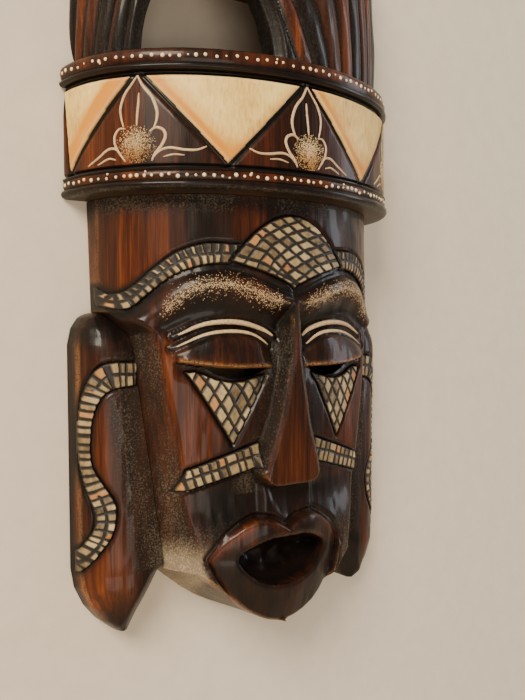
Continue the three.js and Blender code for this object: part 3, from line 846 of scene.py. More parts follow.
# ---------- ears ----------
EAR_OUTER = np.array([
    [-74.8, 70.6], [-75.6, 73.4], [-77, 75.6], [-81, 78.4], [-88, 80],
    [-180, 80], [-188, 78.6], [-196, 74.8], [-202, 70], [-206.3, 65],
])
EAR_ACROSS = np.linspace(0, 1, 21)
EAR_SECTION = np.interp(EAR_ACROSS, [0, 0.35, 0.62, 0.82, 0.95, 1], [1, 0.985, 0.88, 0.7, 0.42, 0])
EAR_SECTION = 0.5 * EAR_SECTION + 0.5 * np.sqrt(np.clip(1 - EAR_ACROSS ** 3.2, 0, 1))


def ear_edges(z):
    inner = np.where(z > -182, head_edge(z) + 0.3, np.interp(-z, [182, 206.3], [47, 60]))
    return inner, np.interp(-z, -EAR_OUTER[:, 0], EAR_OUTER[:, 1])


def ear_base(half, z):
    inner, outer = ear_edges(z)
    shoulder = np.sqrt(np.clip(1 - ((z + 95) / 21) ** 2, 0, 1))
    deep = 20 * np.where(z > -95, np.maximum(0.3, shoulder), 1 - 0.16 * smooth(-z, 186, 206))
    across = np.clip((half - inner) / (outer - inner), 0, 1)
    bevel = smooth(-z, 178, 184) * np.clip(1 - (half - inner) / 7.0, 0, 1)
    return deep * np.interp(across, EAR_ACROSS, EAR_SECTION) - 6 * bevel ** 1.3


EAR_S_OUTER = [[58, -95.2], [70, -95.4], [75.5, -100], [78.4, -112], [79, -130], [77.4, -145],
               [74.6, -156], [75.2, -163], [79.4, -172]]
EAR_S_INNER = [[79.4, -181.5], [73, -172.6], [68, -164], [67, -153], [71.4, -144.5], [75.0, -137],
               [75.6, -127], [74.4, -115], [69.5, -107], [58, -104.8]]
EAR_BAND = np.vstack([spline(EAR_S_OUTER, 50), spline(EAR_S_INNER, 50)])


def ear_depth(half, z):
    depth = ear_base(half, z)
    bed = outside(half, z, EAR_BAND)
    fade = smooth(ear_edges(z)[1] - half, 0, 1.5)
    depth = depth - fade * (1.0 * smooth(-bed, -0.5, 0.5) + 0.8 * hump(bed - 0.2, 0.8))
    depth = depth + fade * (0.3 * noise2(half, z * 0.3, 6, 61) + 0.12 * noise2(half, z * 0.3, 2.2, 63))
    return np.maximum(depth, 0.4)


ear_chart = Chart(ear_depth, (44, 82), (-208, -73))


def build_ear(name, side):
    rows = np.linspace(-74.8, -206.3, 240)
    u = np.linspace(0, 1, 90)
    inner, outer = ear_edges(rows)
    across = 1 - (1 - u) ** 1.25
    half = inner[:, None] + (outer - inner)[:, None] * across[None, :]
    z = np.broadcast_to(rows[:, None], half.shape)
    depth = ear_depth(half, z)
    depth[:, -1] = 0.4
    front = np.stack([side * half, -depth, z], -1)
    rings = np.concatenate([wall_line(side * inner, rows), front, wall_line(side * outer, rows)], 1)
    obj = make(f"ear_carving_{name}", *loft(rings))
    x, y, z = coordinates(obj)
    half = np.abs(x)
    fine = ear_chart.sample(ear_chart.fine, half, z)
    bed = outside(half, z, EAR_BAND)
    from_face = half - ear_edges(z)[0]
    cloud = noise2(x, z * 0.4, 10, 65)
    near_face = 1 - smooth(from_face, 5, 17)
    black = most(
        0.9 * smooth(-fine, 0.10, 0.4),
        hump(bed - 0.1, 1.2),
        smooth(-bed, -0.4, 0.2),
        # painted shade on the top of the ear, where it rounds over
        0.85 * smooth(z, -94, -84),
        0.85 * near_face * (0.75 + 0.25 * cloud),
        np.clip(0.45 - 0.5 * noise2(x, z * 0.12, 5, 69), 0, 0.8) * smooth(-from_face, -24, -10),
        0.85 * smooth(-z, 180, 186) * (1 - smooth(from_face, 5, 10)),
    )
    tail = smooth(-z, 176, 190) * smooth(from_face, 6, 11)
    orange = np.clip(0.2 + 0.45 * cloud, 0, 1) * smooth(from_face, 10, 18)
    orange = np.maximum(orange, 0.8 * tail * np.clip(0.25 + 0.9 * noise2(x, z * 0.1, 3, 67), 0, 1))
    dust = 0.42 * near_face * smooth(-z, 88, 100) * (1 - smooth(-z, 178, 184))
    paint_wood(obj, (y > -0.3).astype(float), black, orange, dust, wear=0.35 * smooth(fine, 0.2, 0.7))
    return settle(obj, EAR_WOOD, [f"ear_flap_{name}"])


# ---------- tiled inlays ----------
def tile_plate(name, node, side, shape, box, surface, lines, shift=0.0, shade=None, step=0.3):
    """Plate of scored tiles; lines(x, z) gives two tile numbers and the distance to the nearest line."""
    (x_low, x_high), (z_low, z_high) = box
    x, z = np.meshgrid(np.arange(x_low, x_high, step), np.arange(z_low, z_high, step), indexing="ij")
    d = shape(x, z)
    first, second, away = lines(x, z)
    first, second = np.floor(first), np.floor(second)
    real_x = side * x + shift
    base = surface(real_x, z)
    gap = np.minimum(away, -d + 0.1) + 0.16 * noise2(x, z, 1.6, 151)
    crown = smooth(gap, 0.15, 0.85)
    uneven = 0.22 * (hashed(first, second, 3) - 0.5) + 0.10 * noise2(x, z, 1.3, 153)
    height = -0.75 + 0.5 * crown + 0.55 * smooth(-d, 0.1, 0.9) + uneven * crown
    top = np.column_stack([real_x.ravel(), -(base + height).ravel(), z.ravel()])
    bottom = np.column_stack([real_x.ravel(), -(base - 1.9).ravel(), z.ravel()])
    quads = grid_faces(d)
    if side > 0:
        quads = quads[:, ::-1]
    points, faces, used = closed_sheet(top, bottom, quads)
    obj = make(name, points, faces, shade=None)
    tone = hashed(first, second)
    groove = 1 - smooth(gap, 0.52, 0.96)
    # painted shade: where shade(x, z) is low the tiles are darkened like the scored lines
    if shade is not None:
        groove = np.maximum(groove, 0.9 * (1 - shade(x, z)))
    paint_both(obj, used, tone=tone, groove=groove, orange=(hashed(first, second, 5) > 0.90) * 0.7)
    return settle(obj, TILES, [node])


def spaced(value, pitch):
    """Index of the cell, and distance to the nearest line of a family that is `pitch` apart."""
    u = value / pitch
    return u, np.abs(u - np.round(u)) * pitch


def band_lines(centre, pitch, notch=0.0, single=(1, 0)):
    """Two rows of tiles along a band, one row between two heights; notch widens the upper row's gaps."""
    def lines(x, z):
        _, along, off = follow(x, z, centre)
        wobble = 0.9 * noise2(along, off * 0.2, 4, 71)
        u, cross = spaced(along + wobble, pitch)
        middle = np.abs(off + 0.35 * noise2(along, 0 * along, 7, 73))
        one_row = smooth(z, single[0] - 3, single[0]) * smooth(-z, -single[1] - 3, -single[1])
        away = np.minimum(cross - notch * smooth(off, 0.3, 1.2), middle + 4 * one_row)
        return u, (off > 0) & (one_row < 0.5), away
    return lines


RISING_CUTS = [
    [[-27, -61], [-24.1, -57.6], [-20.8, -52.6], [-16.6, -47.3],
     [-13.8, -44.5], [-9.1, -41.9], [-4.1, -39.8], [3, -37.4]],
    [[-18.6, -59.5], [-16.7, -55.3], [-13.9, -51.9], [-11.1, -48.5],
     [-7.7, -46.3], [-1.6, -43.0], [8, -40.2]],
    [[-13.4, -60.5], [-10.7, -55.1], [-7.3, -52.1], [-0.6, -47.5], [4.3, -46.0], [9.5, -44.1], [16, -42.2]],
    [[-9.5, -61], [-7.4, -58.4], [-3.4, -54.2], [4.8, -49.8], [13.1, -47.6], [20, -45.0]],
    [[-6.4, -62.6], [-5.4, -60.8], [-1.3, -58.2], [4.7, -54.9], [10.0, -52.5], [15.6, -50.9], [25, -48.2]],
    [[-2.4, -64.4], [5.2, -60.0], [10.5, -56.4], [18.9, -53.7], [29, -51.6]],
]
FALLING_CUTS = [
    [[-29, -51.4], [-25.7, -52.9], [-21.5, -54.2], [-16.3, -55.3],
     [-11.2, -57.7], [-7.4, -60.0], [-1.3, -62.8], [3, -65.6]],
    [[-26, -46.4], [-22.7, -47.7], [-19.3, -49.4], [-13.9, -51.1],
     [-11.2, -53.5], [-7.3, -57.1], [-4.4, -59.9], [4, -65]],
    [[-20, -42.4], [-17.4, -44.2], [-14.3, -46.6], [-7.3, -51.7], [-2.3, -56.5], [4.7, -60.1], [10, -63.4]],
    [[-16.4, -40.4], [-14.7, -42.0], [-11.5, -43.9], [-3.2, -49.4],
     [0.9, -52.1], [5.3, -54.9], [10.5, -57.7], [17, -61]],
    [[-12.6, -37.8], [-10.5, -39.7], [-7.1, -41.6], [-1.6, -45.5],
     [3.7, -49.0], [9.4, -52.1], [13.0, -54.9], [20, -59.8]],
    [[-7.2, -36.4], [-5.1, -38.1], [-1.0, -40.8], [4.3, -44.3],
     [11.3, -47.2], [16.3, -49.5], [20.2, -53.6], [25, -58.8]],
    [[-1.8, -35.0], [0.1, -36.9], [6.7, -40.7], [13.2, -43.2], [19.0, -46.7], [24.6, -50.7], [30, -57.6]],
]


def lens_lines(x, z):
    """Hand-scored crossing lines of the lens; a tile is numbered by the lines it lies above."""
    counts, away = [], np.full(x.shape, 9.0)
    for family in (RISING_CUTS, FALLING_CUTS):
        above = np.zeros(x.shape)
        for cut in family:
            distance, _, side = follow(x, z, cut)
            above += side > 0
            away = np.minimum(away, distance)
        counts.append(above)
    return counts[0], counts[1], away


def triangle_lines(x, z):
    """Scored lines parallel to the two long sides of the eye triangle."""
    u, first = spaced(x - 0.578 * (z + 110) - 17.2 + 0.4 * noise2(x, z, 6, 79), 5.7)
    v, second = spaced(x + 0.62 * (z + 110) - 19.8 + 0.4 * noise2(x, z, 6, 81), 5.6)
    return u + 20, v + 20, np.minimum(first, second) * 0.86


def skin(x, z):
    return face_parts(x, z)[0]


def ear_shape(half, z):
    """Outline of the ear band; distances are stretched where the surface turns away to the side."""
    return outside(half, z, EAR_BAND) * (1 + 1.3 * smooth(half, 72, 78))


BROW_MIDDLE = spline([
    [17, -52.6], [28, -52.4], [38, -52.5], [48, -55.9], [56, -62.9], [62, -69.3], [67, -70.8], [70.4, -68],
], 60)
STRIP_MIDDLE = np.array([[14, -133.6], [47, -143.6]])
EAR_MIDDLE = spline([
    [56, -100], [68, -100.6], [73, -103.6], [77, -113], [78.2, -129], [76.6, -141], [73, -150], [70.8, -158],
    [72, -166], [76, -173], [80, -178],
], 70)


def build_inlays():
    tile_plate("lens_tiles", "forehead_lens", 1, lens_shape, ((-29, 29), (-67, -35)), skin, lens_lines)
    for name, side in (("left", -1), ("right", 1)):
        tile_plate(f"brow_tiles_{name}", f"brow_band_{name}", side, brow_shape, ((18, 70.4), (-75, -47)),
                   skin, band_lines(BROW_MIDDLE, 2.9, notch=0.5))
        # painted shade darkens the eye-triangle tiles towards the nose
        tile_plate(f"eye_tiles_{name}", f"eye_triangle_{name}", side, eye_shape, ((12, 47), (-131, -98.8)),
                   skin, triangle_lines, EYE_SHIFT, lambda x, z: smooth(x, 16, 23))
        # painted shade darkens the cheek-strip tiles towards the nose
        tile_plate(f"cheek_tiles_{name}", f"cheek_strip_{name}", side, strip_shape,
                   ((14, 49), (-149, -128.5)), skin, band_lines(STRIP_MIDDLE, 3.6),
                   shade=lambda x, z: 0.25 + 0.75 * smooth(x, 12, 27))
        tile_plate(f"ear_tiles_{name}", f"ear_band_{name}", side, ear_shape, ((57, 79.9), (-182, -94)),
                   lambda x, z: ear_base(np.abs(x), z), band_lines(EAR_MIDDLE, 3.3, single=(-146, -108)))


# ---------- painted lines and dots ----------
def ribbon(line, width, lift, where):
    """Low rounded stroke of paint along a line; where(u, v, height) gives points on the surface."""
    line = np.asarray(line, float)
    ahead = np.gradient(line, axis=0)
    ahead /= np.linalg.norm(ahead, axis=1)[:, None]
    sideways = np.column_stack([-ahead[:, 1], ahead[:, 0]])
    across = np.array([-1, -0.6, 0, 0.6, 1.0])
    heights = np.array([-0.15, 0.75, 1, 0.75, -0.15]) * lift
    rings = []
    for p, s, w in zip(line, sideways, width):
        section = p + np.outer(across * w / 2, s)
        top = where(section[:, 0], section[:, 1], heights)
        low = where(section[::-1, 0], section[::-1, 1], np.full(5, -0.6))
        rings.append(np.vstack([top, low]))
    return loft(rings)


def merged(parts):
    points, faces, start = [], [], 0
    for p, f in parts:
        points.append(p)
        faces += [[i + start for i in g] for g in f]
        start += len(p)
    return np.vstack(points), faces


def dots(centres, radii, where, flat=0.55, sides=7):
    """Low paint domes; centres are surface coordinates."""
    turn = np.arange(sides) / sides * 2 * math.pi
    cos, sin = np.cos(turn), np.sin(turn)
    points, faces = [], []
    for (u, v), r in zip(centres, radii):
        start = len(points) * (2 * sides + 2)
        ring = where(u + r * cos, v + r * sin, np.full(sides, -0.12))
        upper = where(u + 0.62 * r * cos, v + 0.62 * r * sin, np.full(sides, flat * r * 0.75))
        top = where(np.array([u]), np.array([v]), np.array([flat * r]))
        root = where(np.array([u]), np.array([v]), np.array([-0.5]))
        points.append(np.vstack([ring, upper, top, root]))
        for i in range(sides):
            j = (i + 1) % sides
            faces.append([start + i, start + j, start + sides + j, start + sides + i])
            faces.append([start + sides + i, start + sides + j, start + 2 * sides])
            faces.append([start + j, start + i, start + 2 * sides + 1])
    return np.vstack(points), faces


def on_face(x, z, height):
    return np.column_stack([x, -(face_chart.sample(face_chart.depth, x, z) + height), z])


def build_face_paint():
    parts = []
    for side in (-1, 1):
        for line, wide in ((LID_UPPER, 2.3), (LID_LOWER, 1.6)):
            stroke = line[1:-1] * [side, 1]
            swell = np.sin(np.linspace(0.04, 0.93, len(stroke)) * math.pi) ** 0.55
            parts.append(ribbon(stroke, wide * swell, 0.55, on_face))
    obj = make("eyelid_lines", *merged(parts), shade=None)
    settle(obj, LINE_PAINT, [])
    centres, radii = [], []
    for side in (-1, 1):
        for _ in range(1500):
            t = rng.random() ** 0.85 * (len(BROW_ARCH) - 8) + 4
            i = int(t)
            p = lerp(BROW_ARCH[i], BROW_ARCH[min(i + 1, len(BROW_ARCH) - 1)], t - i)
            spread = 2.3 * (0.6 + 0.4 * math.sin(math.pi * t / len(BROW_ARCH)))
            p = p + rng.normal(0, spread, 2) * [0.5, 1]
            if p[0] < 1.5:
                continue
            centres.append((side * p[0], p[1]))
            radii.append(0.10 + 0.16 * rng.random())
    obj = make("brow_specks", *dots(centres, radii, on_face, sides=5), shade=None)
    settle(obj, LINE_PAINT, [])


# ---------- headdress band and rings ----------
HOOP_TURN = np.linspace(0, math.pi / 2, 2001)
HOOP_PACE = np.hypot(BAND_HALF * np.cos(HOOP_TURN), BAND_DEPTH * np.sin(HOOP_TURN))
HOOP_ARC = np.concatenate([[0], np.cumsum((HOOP_PACE[1:] + HOOP_PACE[:-1]) / 2 * np.diff(HOOP_TURN))])
ARC_END = HOOP_ARC[-1]


def on_hoop(around, z, out):
    """Point at a distance round the half-ellipse from its front, a height and a stand-off."""
    around, z, out = np.broadcast_arrays(np.asarray(around, float), z, out)
    angle = np.sign(around) * np.interp(np.abs(around), HOOP_ARC, HOOP_TURN)
    nx, ny = np.sin(angle) / BAND_HALF, -np.cos(angle) / BAND_DEPTH
    size = np.hypot(nx, ny)
    x = BAND_HALF * np.sin(angle) + out * nx / size
    y = -BAND_DEPTH * np.cos(angle) + out * ny / size
    return np.stack([x, y, z], -1)


def panel_outline(tip):
    """Triangle of a cream panel, cut off where the hoop meets the wall."""
    top, low, half, end = 15.3, -18.6, PITCH / 2 - 2.6, ARC_END - 1.2
    return np.array([[max(tip - half, -end), top], [min(tip + half, end), top], [tip, low]])


PANELS = [-1.5 * PITCH, -0.5 * PITCH, 0.5 * PITCH, 1.5 * PITCH]


def band_relief(around, z):
    relief = np.zeros(np.broadcast(around, z).shape)
    for tip in PANELS:
        d = outside(around, z, panel_outline(tip))
        relief -= 0.9 * smooth(-d, -0.5, 0.6) + 1.0 * hump(d - 1.0, 1.0)
    relief -= 0.8 * smooth(z, 14.6, 16.2) + 0.9 * smooth(-z, 18.6, 19.6)
    relief += 0.10 * noise2(around, z * 0.3, 3.2, 83) + 0.08 * noise2(around, z * 0.3, 9, 85)
    return relief


def hoop_solid(name, profile_out, profile_z, arc_steps, inner=-16.0):
    """Hoop from a section that may change along it: profile_out(around) gives the stand-offs."""
    around = np.linspace(-ARC_END, ARC_END, arc_steps)
    rings = []
    for s in around:
        out = profile_out(s)
        outer = on_hoop(np.full(len(profile_z), s), profile_z, out)
        back = on_hoop(np.full(2, s), profile_z[[-1, 0]], np.full(2, inner))
        ring = np.vstack([outer, back])
        ring[:, 1] = np.minimum(ring[:, 1], 0)
        rings.append(ring)
    return make(name, *loft(rings))


def hoop_inside(x, y):
    """One on the unfinished inner side of the hoop, zero elsewhere."""
    return (np.hypot(x / BAND_HALF, y / BAND_DEPTH) < 0.93).astype(float)


def build_band():
    z = np.linspace(-20, 16.8, 84)
    around = np.linspace(-ARC_END, ARC_END, 520)
    relief = band_relief(around[:, None], z[None, :])
    table = dict(zip(around, relief))
    obj = hoop_solid("band_drum", lambda s: table[s], z, 520)
    x, y, zz = coordinates(obj)
    angle = np.arctan2(x / BAND_HALF, -y / BAND_DEPTH)
    s = np.sign(angle) * np.interp(np.abs(angle), HOOP_TURN, HOOP_ARC)
    groove = most(*(1 - smooth(outside(s, zz, panel_outline(tip)), 1.3, 2.2) for tip in PANELS))
    groove = most(groove, smooth(zz, 14.6, 15.6), smooth(-zz, 18.2, 19.2))
    orange = np.clip(0.05 + 0.55 * noise2(s, zz * 0.2, 9, 87), 0, 1)
    paint_wood(obj, hoop_inside(x, y), groove, orange)
    settle(obj, BAND_WOOD, ["headdress_band"])


def build_panels():
    step = 0.45
    for number, tip in enumerate(PANELS, 1):
        outline = panel_outline(tip)
        low, high = outline.min(0) - step, outline.max(0) + step
        s, z = np.meshgrid(*(np.arange(a, b + step, step) for a, b in zip(low, high)), indexing="ij")
        d = outside(s, z, outline)
        height = -0.8 + 1.0 * smooth(-d, 0.0, 1.0) + 0.12 * smooth(-d, 0.8, 1.6) * (1 - smooth(-d, 1.6, 3.2))
        height += 0.08 * noise2(s, z, 4, 89)
        top = on_hoop(s.ravel(), z.ravel(), height.ravel())
        bottom = on_hoop(s.ravel(), z.ravel(), np.full(s.size, -2.4))
        points, faces, used = closed_sheet(top, bottom, grid_faces(d)[:, ::-1])
        obj = make(f"cream_panel_{number}", points, faces, shade=None)
        left_edge = follow(s, z, outline[[0, 2]])[0]
        right_edge = follow(s, z, outline[[1, 2]])[0]
        if number == 1:
            burn = 0.95 * hump(right_edge - 4.5, 3.0) + 0.5 * hump(right_edge - 1, 1.5)
        else:
            burn = 0.85 * hump(left_edge - 2.2, 1.7) + 0.35 * hump(right_edge - 1.6, 1.3)
            burn += 0.2 * hump(left_edge - 5, 3)
        burn += 0.5 * hump(z + 13, 4)
        # rim carries the painted highlight just inside the edge
        paint_both(obj, used, burn=burn, rim=0.3 * hump(-d - 0.7, 0.5))
        settle(obj, PANEL, [f"band_triangle_{number}"])


PETAL_STROKES = [
    ([[0, 15], [-2.6, 11.6], [-5.4, 7.9], [-7.1, 3.2], [-6.9, -0.6], [-5.9, -4.4]], 1.05),
    ([[0, 15], [2.2, 10.8], [5.6, 6.6], [7.4, 1.6], [7.3, -2], [6.0, -5.6]], 1.25),
    ([[0.5, 8.4], [0.2, 4.2], [-0.3, 0], [-0.6, -4.2]], 1.05),
    ([[-5.4, -4.9], [-8.0, -5.0], [-9.9, -7.9], [-9.4, -11.6], [-7.4, -14.8], [-5.4, -17.6]], 1.0),
    ([[4.4, -6.5], [7.0, -5.0], [9.7, -5.9], [10.6, -8.4], [9.0, -12], [6.4, -15], [5.2, -17.8]], 1.25),
    ([[-7.2, -15.4], [-9.2, -12.6], [-12.7, -12.3], [-17.2, -15.0], [-22.6, -17.8]], 1.0),
    ([[-9.4, -16.6], [-12.7, -16.0], [-17.6, -17.9]], 0.8),
    ([[5.6, -16.6], [8.6, -13.8], [12.3, -12.8], [17.8, -13.6], [22.6, -13.6], [26.4, -12.2]], 1.05),
    ([[9.6, -16.3], [13.6, -15.4], [17.8, -15.7]], 0.75),
]


def build_flowers():
    for name, middle, lean in (("left", -PITCH, 1), ("front", 0.0, -1), ("right", PITCH, 1)):
        at = lambda s, z, h, middle=middle: on_hoop(np.asarray(s) + middle, z, np.asarray(h) + 0.10)
        parts = []
        for points, wide in PETAL_STROKES:
            line = spline(points, 26) * [lean, 1]
            swell = np.sin(np.linspace(0.06, 0.94, 26) * math.pi) ** 0.6
            parts.append(ribbon(line, wide * (0.3 + 0.7 * swell), 0.28, at))
        obj = make(f"flower_lines_{name}", *merged(parts), shade=None)
        settle(obj, LINE_PAINT, [])
        centres, radii = [], []
        while len(centres) < 1500:
            p = rng.normal(0, 1, 2)
            u, v = -1.0 * lean + 3.6 * p[0], -11.6 + 3.9 * p[1]
            if ((u + lean) / 8.2) ** 2 + ((v + 11.2) / 7.6) ** 2 > 1 or v < -18.3:
                continue
            centres.append((u, v))
            radii.append(0.09 + 0.14 * rng.random())
        obj = make(f"pollen_{name}", *dots(centres, radii, at, sides=5), shade=None)
        paint(obj, tone=0.9 * smooth(-coordinates(obj)[2], 8, 16))
        settle(obj, POLLEN_PAINT, [])


UPPER_PROFILE = np.array([
    [17.1, 0.1], [17.25, 0.9], [17.8, 1.45], [18.5, 1.6],
    [19.1, 1.35], [19.45, 0.7], [19.8, 0.45], [20.2, 0.62],
    [21.4, 0.95], [22.8, 1.0], [24.1, 0.8], [24.9, 0.4], [25.35, -0.2], [25.5, -1.0],
])
LOWER_PROFILE = np.array([
    [-28.5, -0.9], [-28.3, 0.2], [-27.7, 1.1], [-26.9, 1.55],
    [-26.1, 1.5], [-25.4, 1.05], [-25.05, 0.35], [-24.7, 0.1],
    [-24.3, 0.3], [-23.5, 0.55], [-22.6, 0.55], [-21.7, 0.35],
    [-21.4, 0.15], [-21.1, 0.5], [-20.7, 0.8], [-20.4, 0.6],
    [-20.3, 0.1],
])


def build_ring(name, node, profile, band, seed):
    z, out = profile[:, 0], profile[:, 1]
    wobble = lambda s: out + 0.10 * noise2(np.full(len(z), s), z * 2, 6, seed)
    obj = hoop_solid(name, wobble, z, 420)
    x, y, zz = coordinates(obj)
    plain_wood = smooth(zz, band[0], band[0] + 0.5) * smooth(-zz, -band[1], -band[1] + 0.5)
    orange = plain_wood * np.clip(0.1 + 0.5 * noise2(x, y * 0.8, 9, seed + 1), 0, 1)
    paint_wood(obj, hoop_inside(x, y), (1 - plain_wood) * 0.85, orange, dust=0.35 * (zz < -27.4))
    settle(obj, RING_WOOD, [node])


def build_ring_dots(name, z_middle, out, spacing, seed):
    random = np.random.default_rng(seed)
    centres, radii = [], []
    s = -ARC_END + 2
    while s < ARC_END - 2:
        size = 0.62 + 0.35 * random.random()
        if random.random() < 0.12:
            size *= 0.55
        centres.append((s, z_middle + random.normal(0, 0.28)))
        radii.append(size)
        if random.random() < 0.08:
            centres.append((s + 0.4, z_middle + random.choice([-1, 1]) * 1.25))
            radii.append(0.5)
        s += spacing * (0.72 + 0.5 * random.random())
    at = lambda u, v, h: on_hoop(u, v, np.asarray(h) + out)
    obj = make(name, *dots(centres, radii, at, flat=0.5, sides=12), shade=None)
    settle(obj, DOT_PAINT, [])


# ---------- crest ----------
CREST_TOP = 130.0
CREST_BASE = 25.8
ARCH_HALF, ARCH_SPRING = 85, 88
WIN_X, WIN_HALF, WIN_H, WIN_LEAN = -34.9, 24.7, 40.0, -0.03


def window_outline(grow=0.0, below=4.0):
    turn = np.linspace(0, math.pi, 40)
    rise = (WIN_H + grow) * np.sin(turn)
    x = WIN_X + WIN_LEAN * rise + (WIN_HALF + grow) * np.cos(turn)
    arch = np.column_stack([x, CREST_BASE + rise])
    half, foot = WIN_HALF + grow, CREST_BASE - below
    return np.vstack([[WIN_X + half, foot], arch, [WIN_X - half, foot]])


def crest_size(z):
    up = (z - CREST_BASE) / (CREST_TOP - CREST_BASE)
    return lerp(75, 79.5, np.sqrt(np.clip(up, 0, 1))), lerp(55, 34, up * up)


def rib_coordinate(turn, x, z):
    """Rib number across the crest; ribs near the window lean with its arch."""
    win = x - (WIN_X + WIN_LEAN * np.clip(z - CREST_BASE, 0, WIN_H))
    pull = hump(win - 34, 22) - hump(win + 34, 16)
    return turn * 26 / math.pi + 0.045 * (z - CREST_BASE) * pull


def build_crest():
    rows = np.linspace(CREST_BASE, CREST_TOP, 150)
    turn = np.linspace(0, math.pi, 520)
    half, deep = crest_size(rows)
    x0 = -half[:, None] * np.cos(turn)[None, :]
    z = np.broadcast_to(rows[:, None], x0.shape)
    rib = rib_coordinate(turn[None, :], x0, z)
    flute = 1.9 * np.abs(np.sin(rib * math.pi)) ** 0.55
    flute += 0.25 * noise2(x0, z * 0.15, 2.6, 101)
    window = outside(x0, z, window_outline())
    bevel = 2.6 * (1 - np.clip(window / 3.4, 0, 1)) ** 1.2
    smooth_band = smooth(window, 2.6, 4.4)
    out = -1.8 + flute * smooth_band - bevel + 0.6 * (1 - smooth_band)
    x = -(half[:, None] + out) * np.cos(turn)[None, :]
    y = -(deep[:, None] + out) * np.sin(turn)[None, :]
    y[:, 0] = y[:, -1] = 0
    obj = make("crest_carving", *loft(np.stack([x, np.minimum(y, 0), z], -1)))
    arch = np.linspace(0, math.pi, 40)
    rise = ARCH_SPRING + (CREST_TOP - ARCH_SPRING) * np.sin(arch)
    corners = [[-100, ARCH_SPRING], [-100, 140], [100, 140], [100, ARCH_SPRING]]
    over = np.vstack([np.column_stack([ARCH_HALF * np.cos(arch), rise]), corners])
    hollow = hollow_cutter([(72, 51, 35), (52, 64, 44), (CREST_BASE - 3, 64, 44)])
    wide, tall = 26.0, 8.5
    rectangle = [[-wide, HANG - tall], [wide, HANG - tall], [wide, HANG + tall], [-wide, HANG + tall]]
    pocket = prism(rectangle, front=7.0)
    nail_turn = np.arange(12) / 12 * 2 * math.pi
    nail_circle = 1.1 * np.column_stack([np.cos(nail_turn), np.sin(nail_turn)])
    holes = [prism([nail_x, HANG] + nail_circle, front=20.0) for nail_x in (-18, 18)]
    solid_cut(obj, [prism(over), prism(window_outline()), hollow, pocket, *holes])
    x, y, z = coordinates(obj)
    half, deep = crest_size(z)
    angle = np.arctan2(np.clip(-y, 0, None) / deep, -x / half)
    reach = np.hypot(x / half, y / deep)
    rib = rib_coordinate(angle, -half * np.cos(angle), z)
    number = np.floor(rib)
    raw = ((y > -0.3) | (reach < 0.84)).astype(float)
    window = outside(x, z, window_outline())
    within = 1 - np.abs(np.sin(rib * math.pi))
    border = np.where(x < WIN_X, 9.5, 4.0)
    band = 1 - smooth(window, border - 1.5, border + 1.5)
    alternate = hashed(number, 0 * number, 9)
    black = np.maximum(0.95 * smooth(within, 0.45, 0.85), band)
    black = np.maximum(black, 0.9 * (alternate < 0.42))
    orange = np.where(alternate > 0.55, 0.45 + 0.5 * alternate, 0.12)
    orange = orange * (0.7 + 0.4 * noise2(x, z * 0.15, 4, 103))
    paint_wood(obj, raw * ((window > 0.4) | (y > -0.3)), black, orange, dust=0.1)
    settle(obj, CREST_WOOD, ["fluted_crest"])


# ---------- build everything ----------
face = build_face()
colour_face(face)
settle(face, FACE_WOOD, ["face_shell"])
for ear_name, ear_side in (("left", -1), ("right", 1)):
    build_ear(ear_name, ear_side)
build_inlays()
build_face_paint()
build_band()
build_panels()
build_flowers()
build_ring("ring_upper", "upper_bead_ring", UPPER_PROFILE, (20.0, 25.2), 111)
build_ring("ring_lower", "lower_bead_ring", LOWER_PROFILE, (-24.7, -21.2), 121)
build_ring_dots("ring_dots_upper", 22.4, 0.95, 3.9, 131)
build_ring_dots("ring_dots_lower", -23.1, 0.55, 3.4, 141)
build_crest()
for node in ("sawtooth_hanger", "hanger_nail_left", "hanger_nail_right"):
    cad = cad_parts[node]
    cad.data.materials.clear()
    cad.data.materials.append(ZINC)


# ---------- stage, light and camera ----------
def flat_panel(name, corners):
    mesh = bpy.data.meshes.new(name)
    mesh.from_pydata(corners, [], [(0, 1, 2, 3)])
    obj = bpy.data.objects.new(name, mesh)
    bpy.context.scene.collection.objects.link(obj)
    return obj


def backdrop_paint(name, one_sided):
    s = Shader(name)
    rough = s.noise(EVEN, 90, 4, 0.6)
    colour = s.mix(rough, (0.62, 0.55, 0.45), (0.74, 0.66, 0.54))
    s.finish(colour, 0.9)
    if one_sided:
        geometry = s.node("NewGeometry")
        clear = s.node("BsdfTransparent")
        blend = s.node("MixShader")
        rays = s.node("LightPath")
        open_to = s.math("MAXIMUM", geometry.outputs["Backfacing"], rays.outputs["Is Shadow Ray"])
        s.join(open_to, blend.inputs[0])
        s.join(s.surface.outputs[0], blend.inputs[1])
        s.join(clear.outputs[0], blend.inputs[2])
        s.join(blend.outputs[0], s.out.inputs["Surface"])
    return s.material


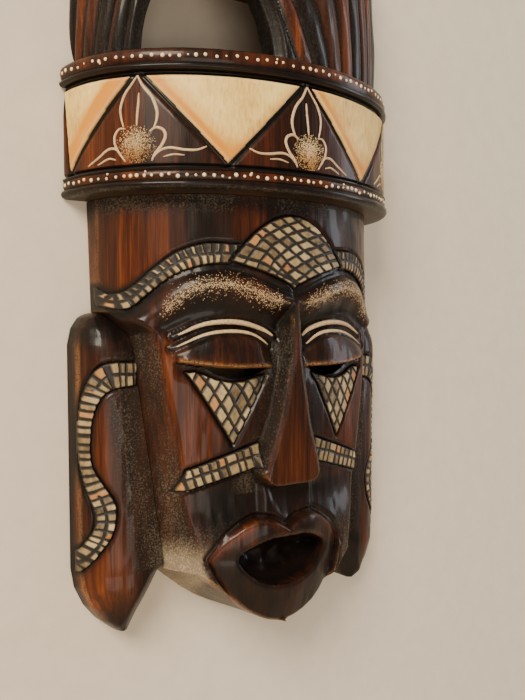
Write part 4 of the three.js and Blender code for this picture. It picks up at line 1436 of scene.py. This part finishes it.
FLOOR_LEVEL, WALL_AT = -0.75, 0.0012
floor = flat_panel("floor", [(x, y, FLOOR_LEVEL) for x, y in ((-3, -3), (3, -3), (3, 3), (-3, 3))])
floor.data.materials.append(backdrop_paint("floor_paint", False))
wall_corners = ((-1.6, FLOOR_LEVEL), (1.6, FLOOR_LEVEL), (1.6, 1.2), (-1.6, 1.2))
wall = flat_panel("wall", [(x, WALL_AT, z) for x, z in wall_corners])
wall.data.materials.append(backdrop_paint("wall_paint", True))


def area_light(name, place_at, aim, size, power, colour):
    light = bpy.data.lights.new(name, "AREA")
    light.shape = "RECTANGLE"
    light.size, light.size_y = size
    light.energy = power
    light.color = colour
    obj = bpy.data.objects.new(name, light)
    obj.location = place_at
    obj.rotation_euler = (Vector(aim) - Vector(place_at)).to_track_quat("-Z", "Y").to_euler()
    bpy.context.scene.collection.objects.link(obj)


middle = (0.0, -0.03, -0.15)
area_light("key", (-0.95, -0.85, 0.60), middle, (0.6, 0.6), 34, (1.0, 0.87, 0.70))
area_light("window", (1.20, -0.50, 0.15), middle, (0.3, 1.0), 6.5, (0.90, 0.94, 1.0))
area_light("fill", (-0.5, -1.3, -0.45), middle, (0.8, 0.5), 6, (1.0, 0.90, 0.78))
area_light("back_fill", (0.3, 1.1, 0.3), middle, (1.0, 1.0), 2, (1.0, 0.98, 0.95))
world = bpy.data.worlds.new("studio")
world.use_nodes = True
world.node_tree.nodes["Background"].inputs[0].default_value = (0.90, 0.84, 0.76, 1)
world.node_tree.nodes["Background"].inputs[1].default_value = 0.26
bpy.context.scene.world = world

YAW, PITCH_UP, ROLL = 0.607, -0.015, -0.012
ahead = Vector((math.sin(YAW) * math.cos(PITCH_UP), math.cos(YAW) * math.cos(PITCH_UP), math.sin(PITCH_UP)))
right = Vector((math.cos(YAW), -math.sin(YAW), 0))
up = right.cross(ahead)
right_rolled = math.cos(ROLL) * right + math.sin(ROLL) * up
up_rolled = math.cos(ROLL) * up - math.sin(ROLL) * right
camera = bpy.data.objects.new("camera", bpy.data.cameras.new("camera"))
camera.data.lens = 41.0
camera.data.sensor_width = 36.0
camera.data.clip_start = 0.01
turn_matrix = Matrix((right_rolled, up_rolled, -ahead)).transposed().to_4x4()
camera.matrix_world = Matrix.Translation((-0.2007, -0.3146, -0.1781)) @ turn_matrix
bpy.context.scene.collection.objects.link(camera)
bpy.context.scene.camera = camera
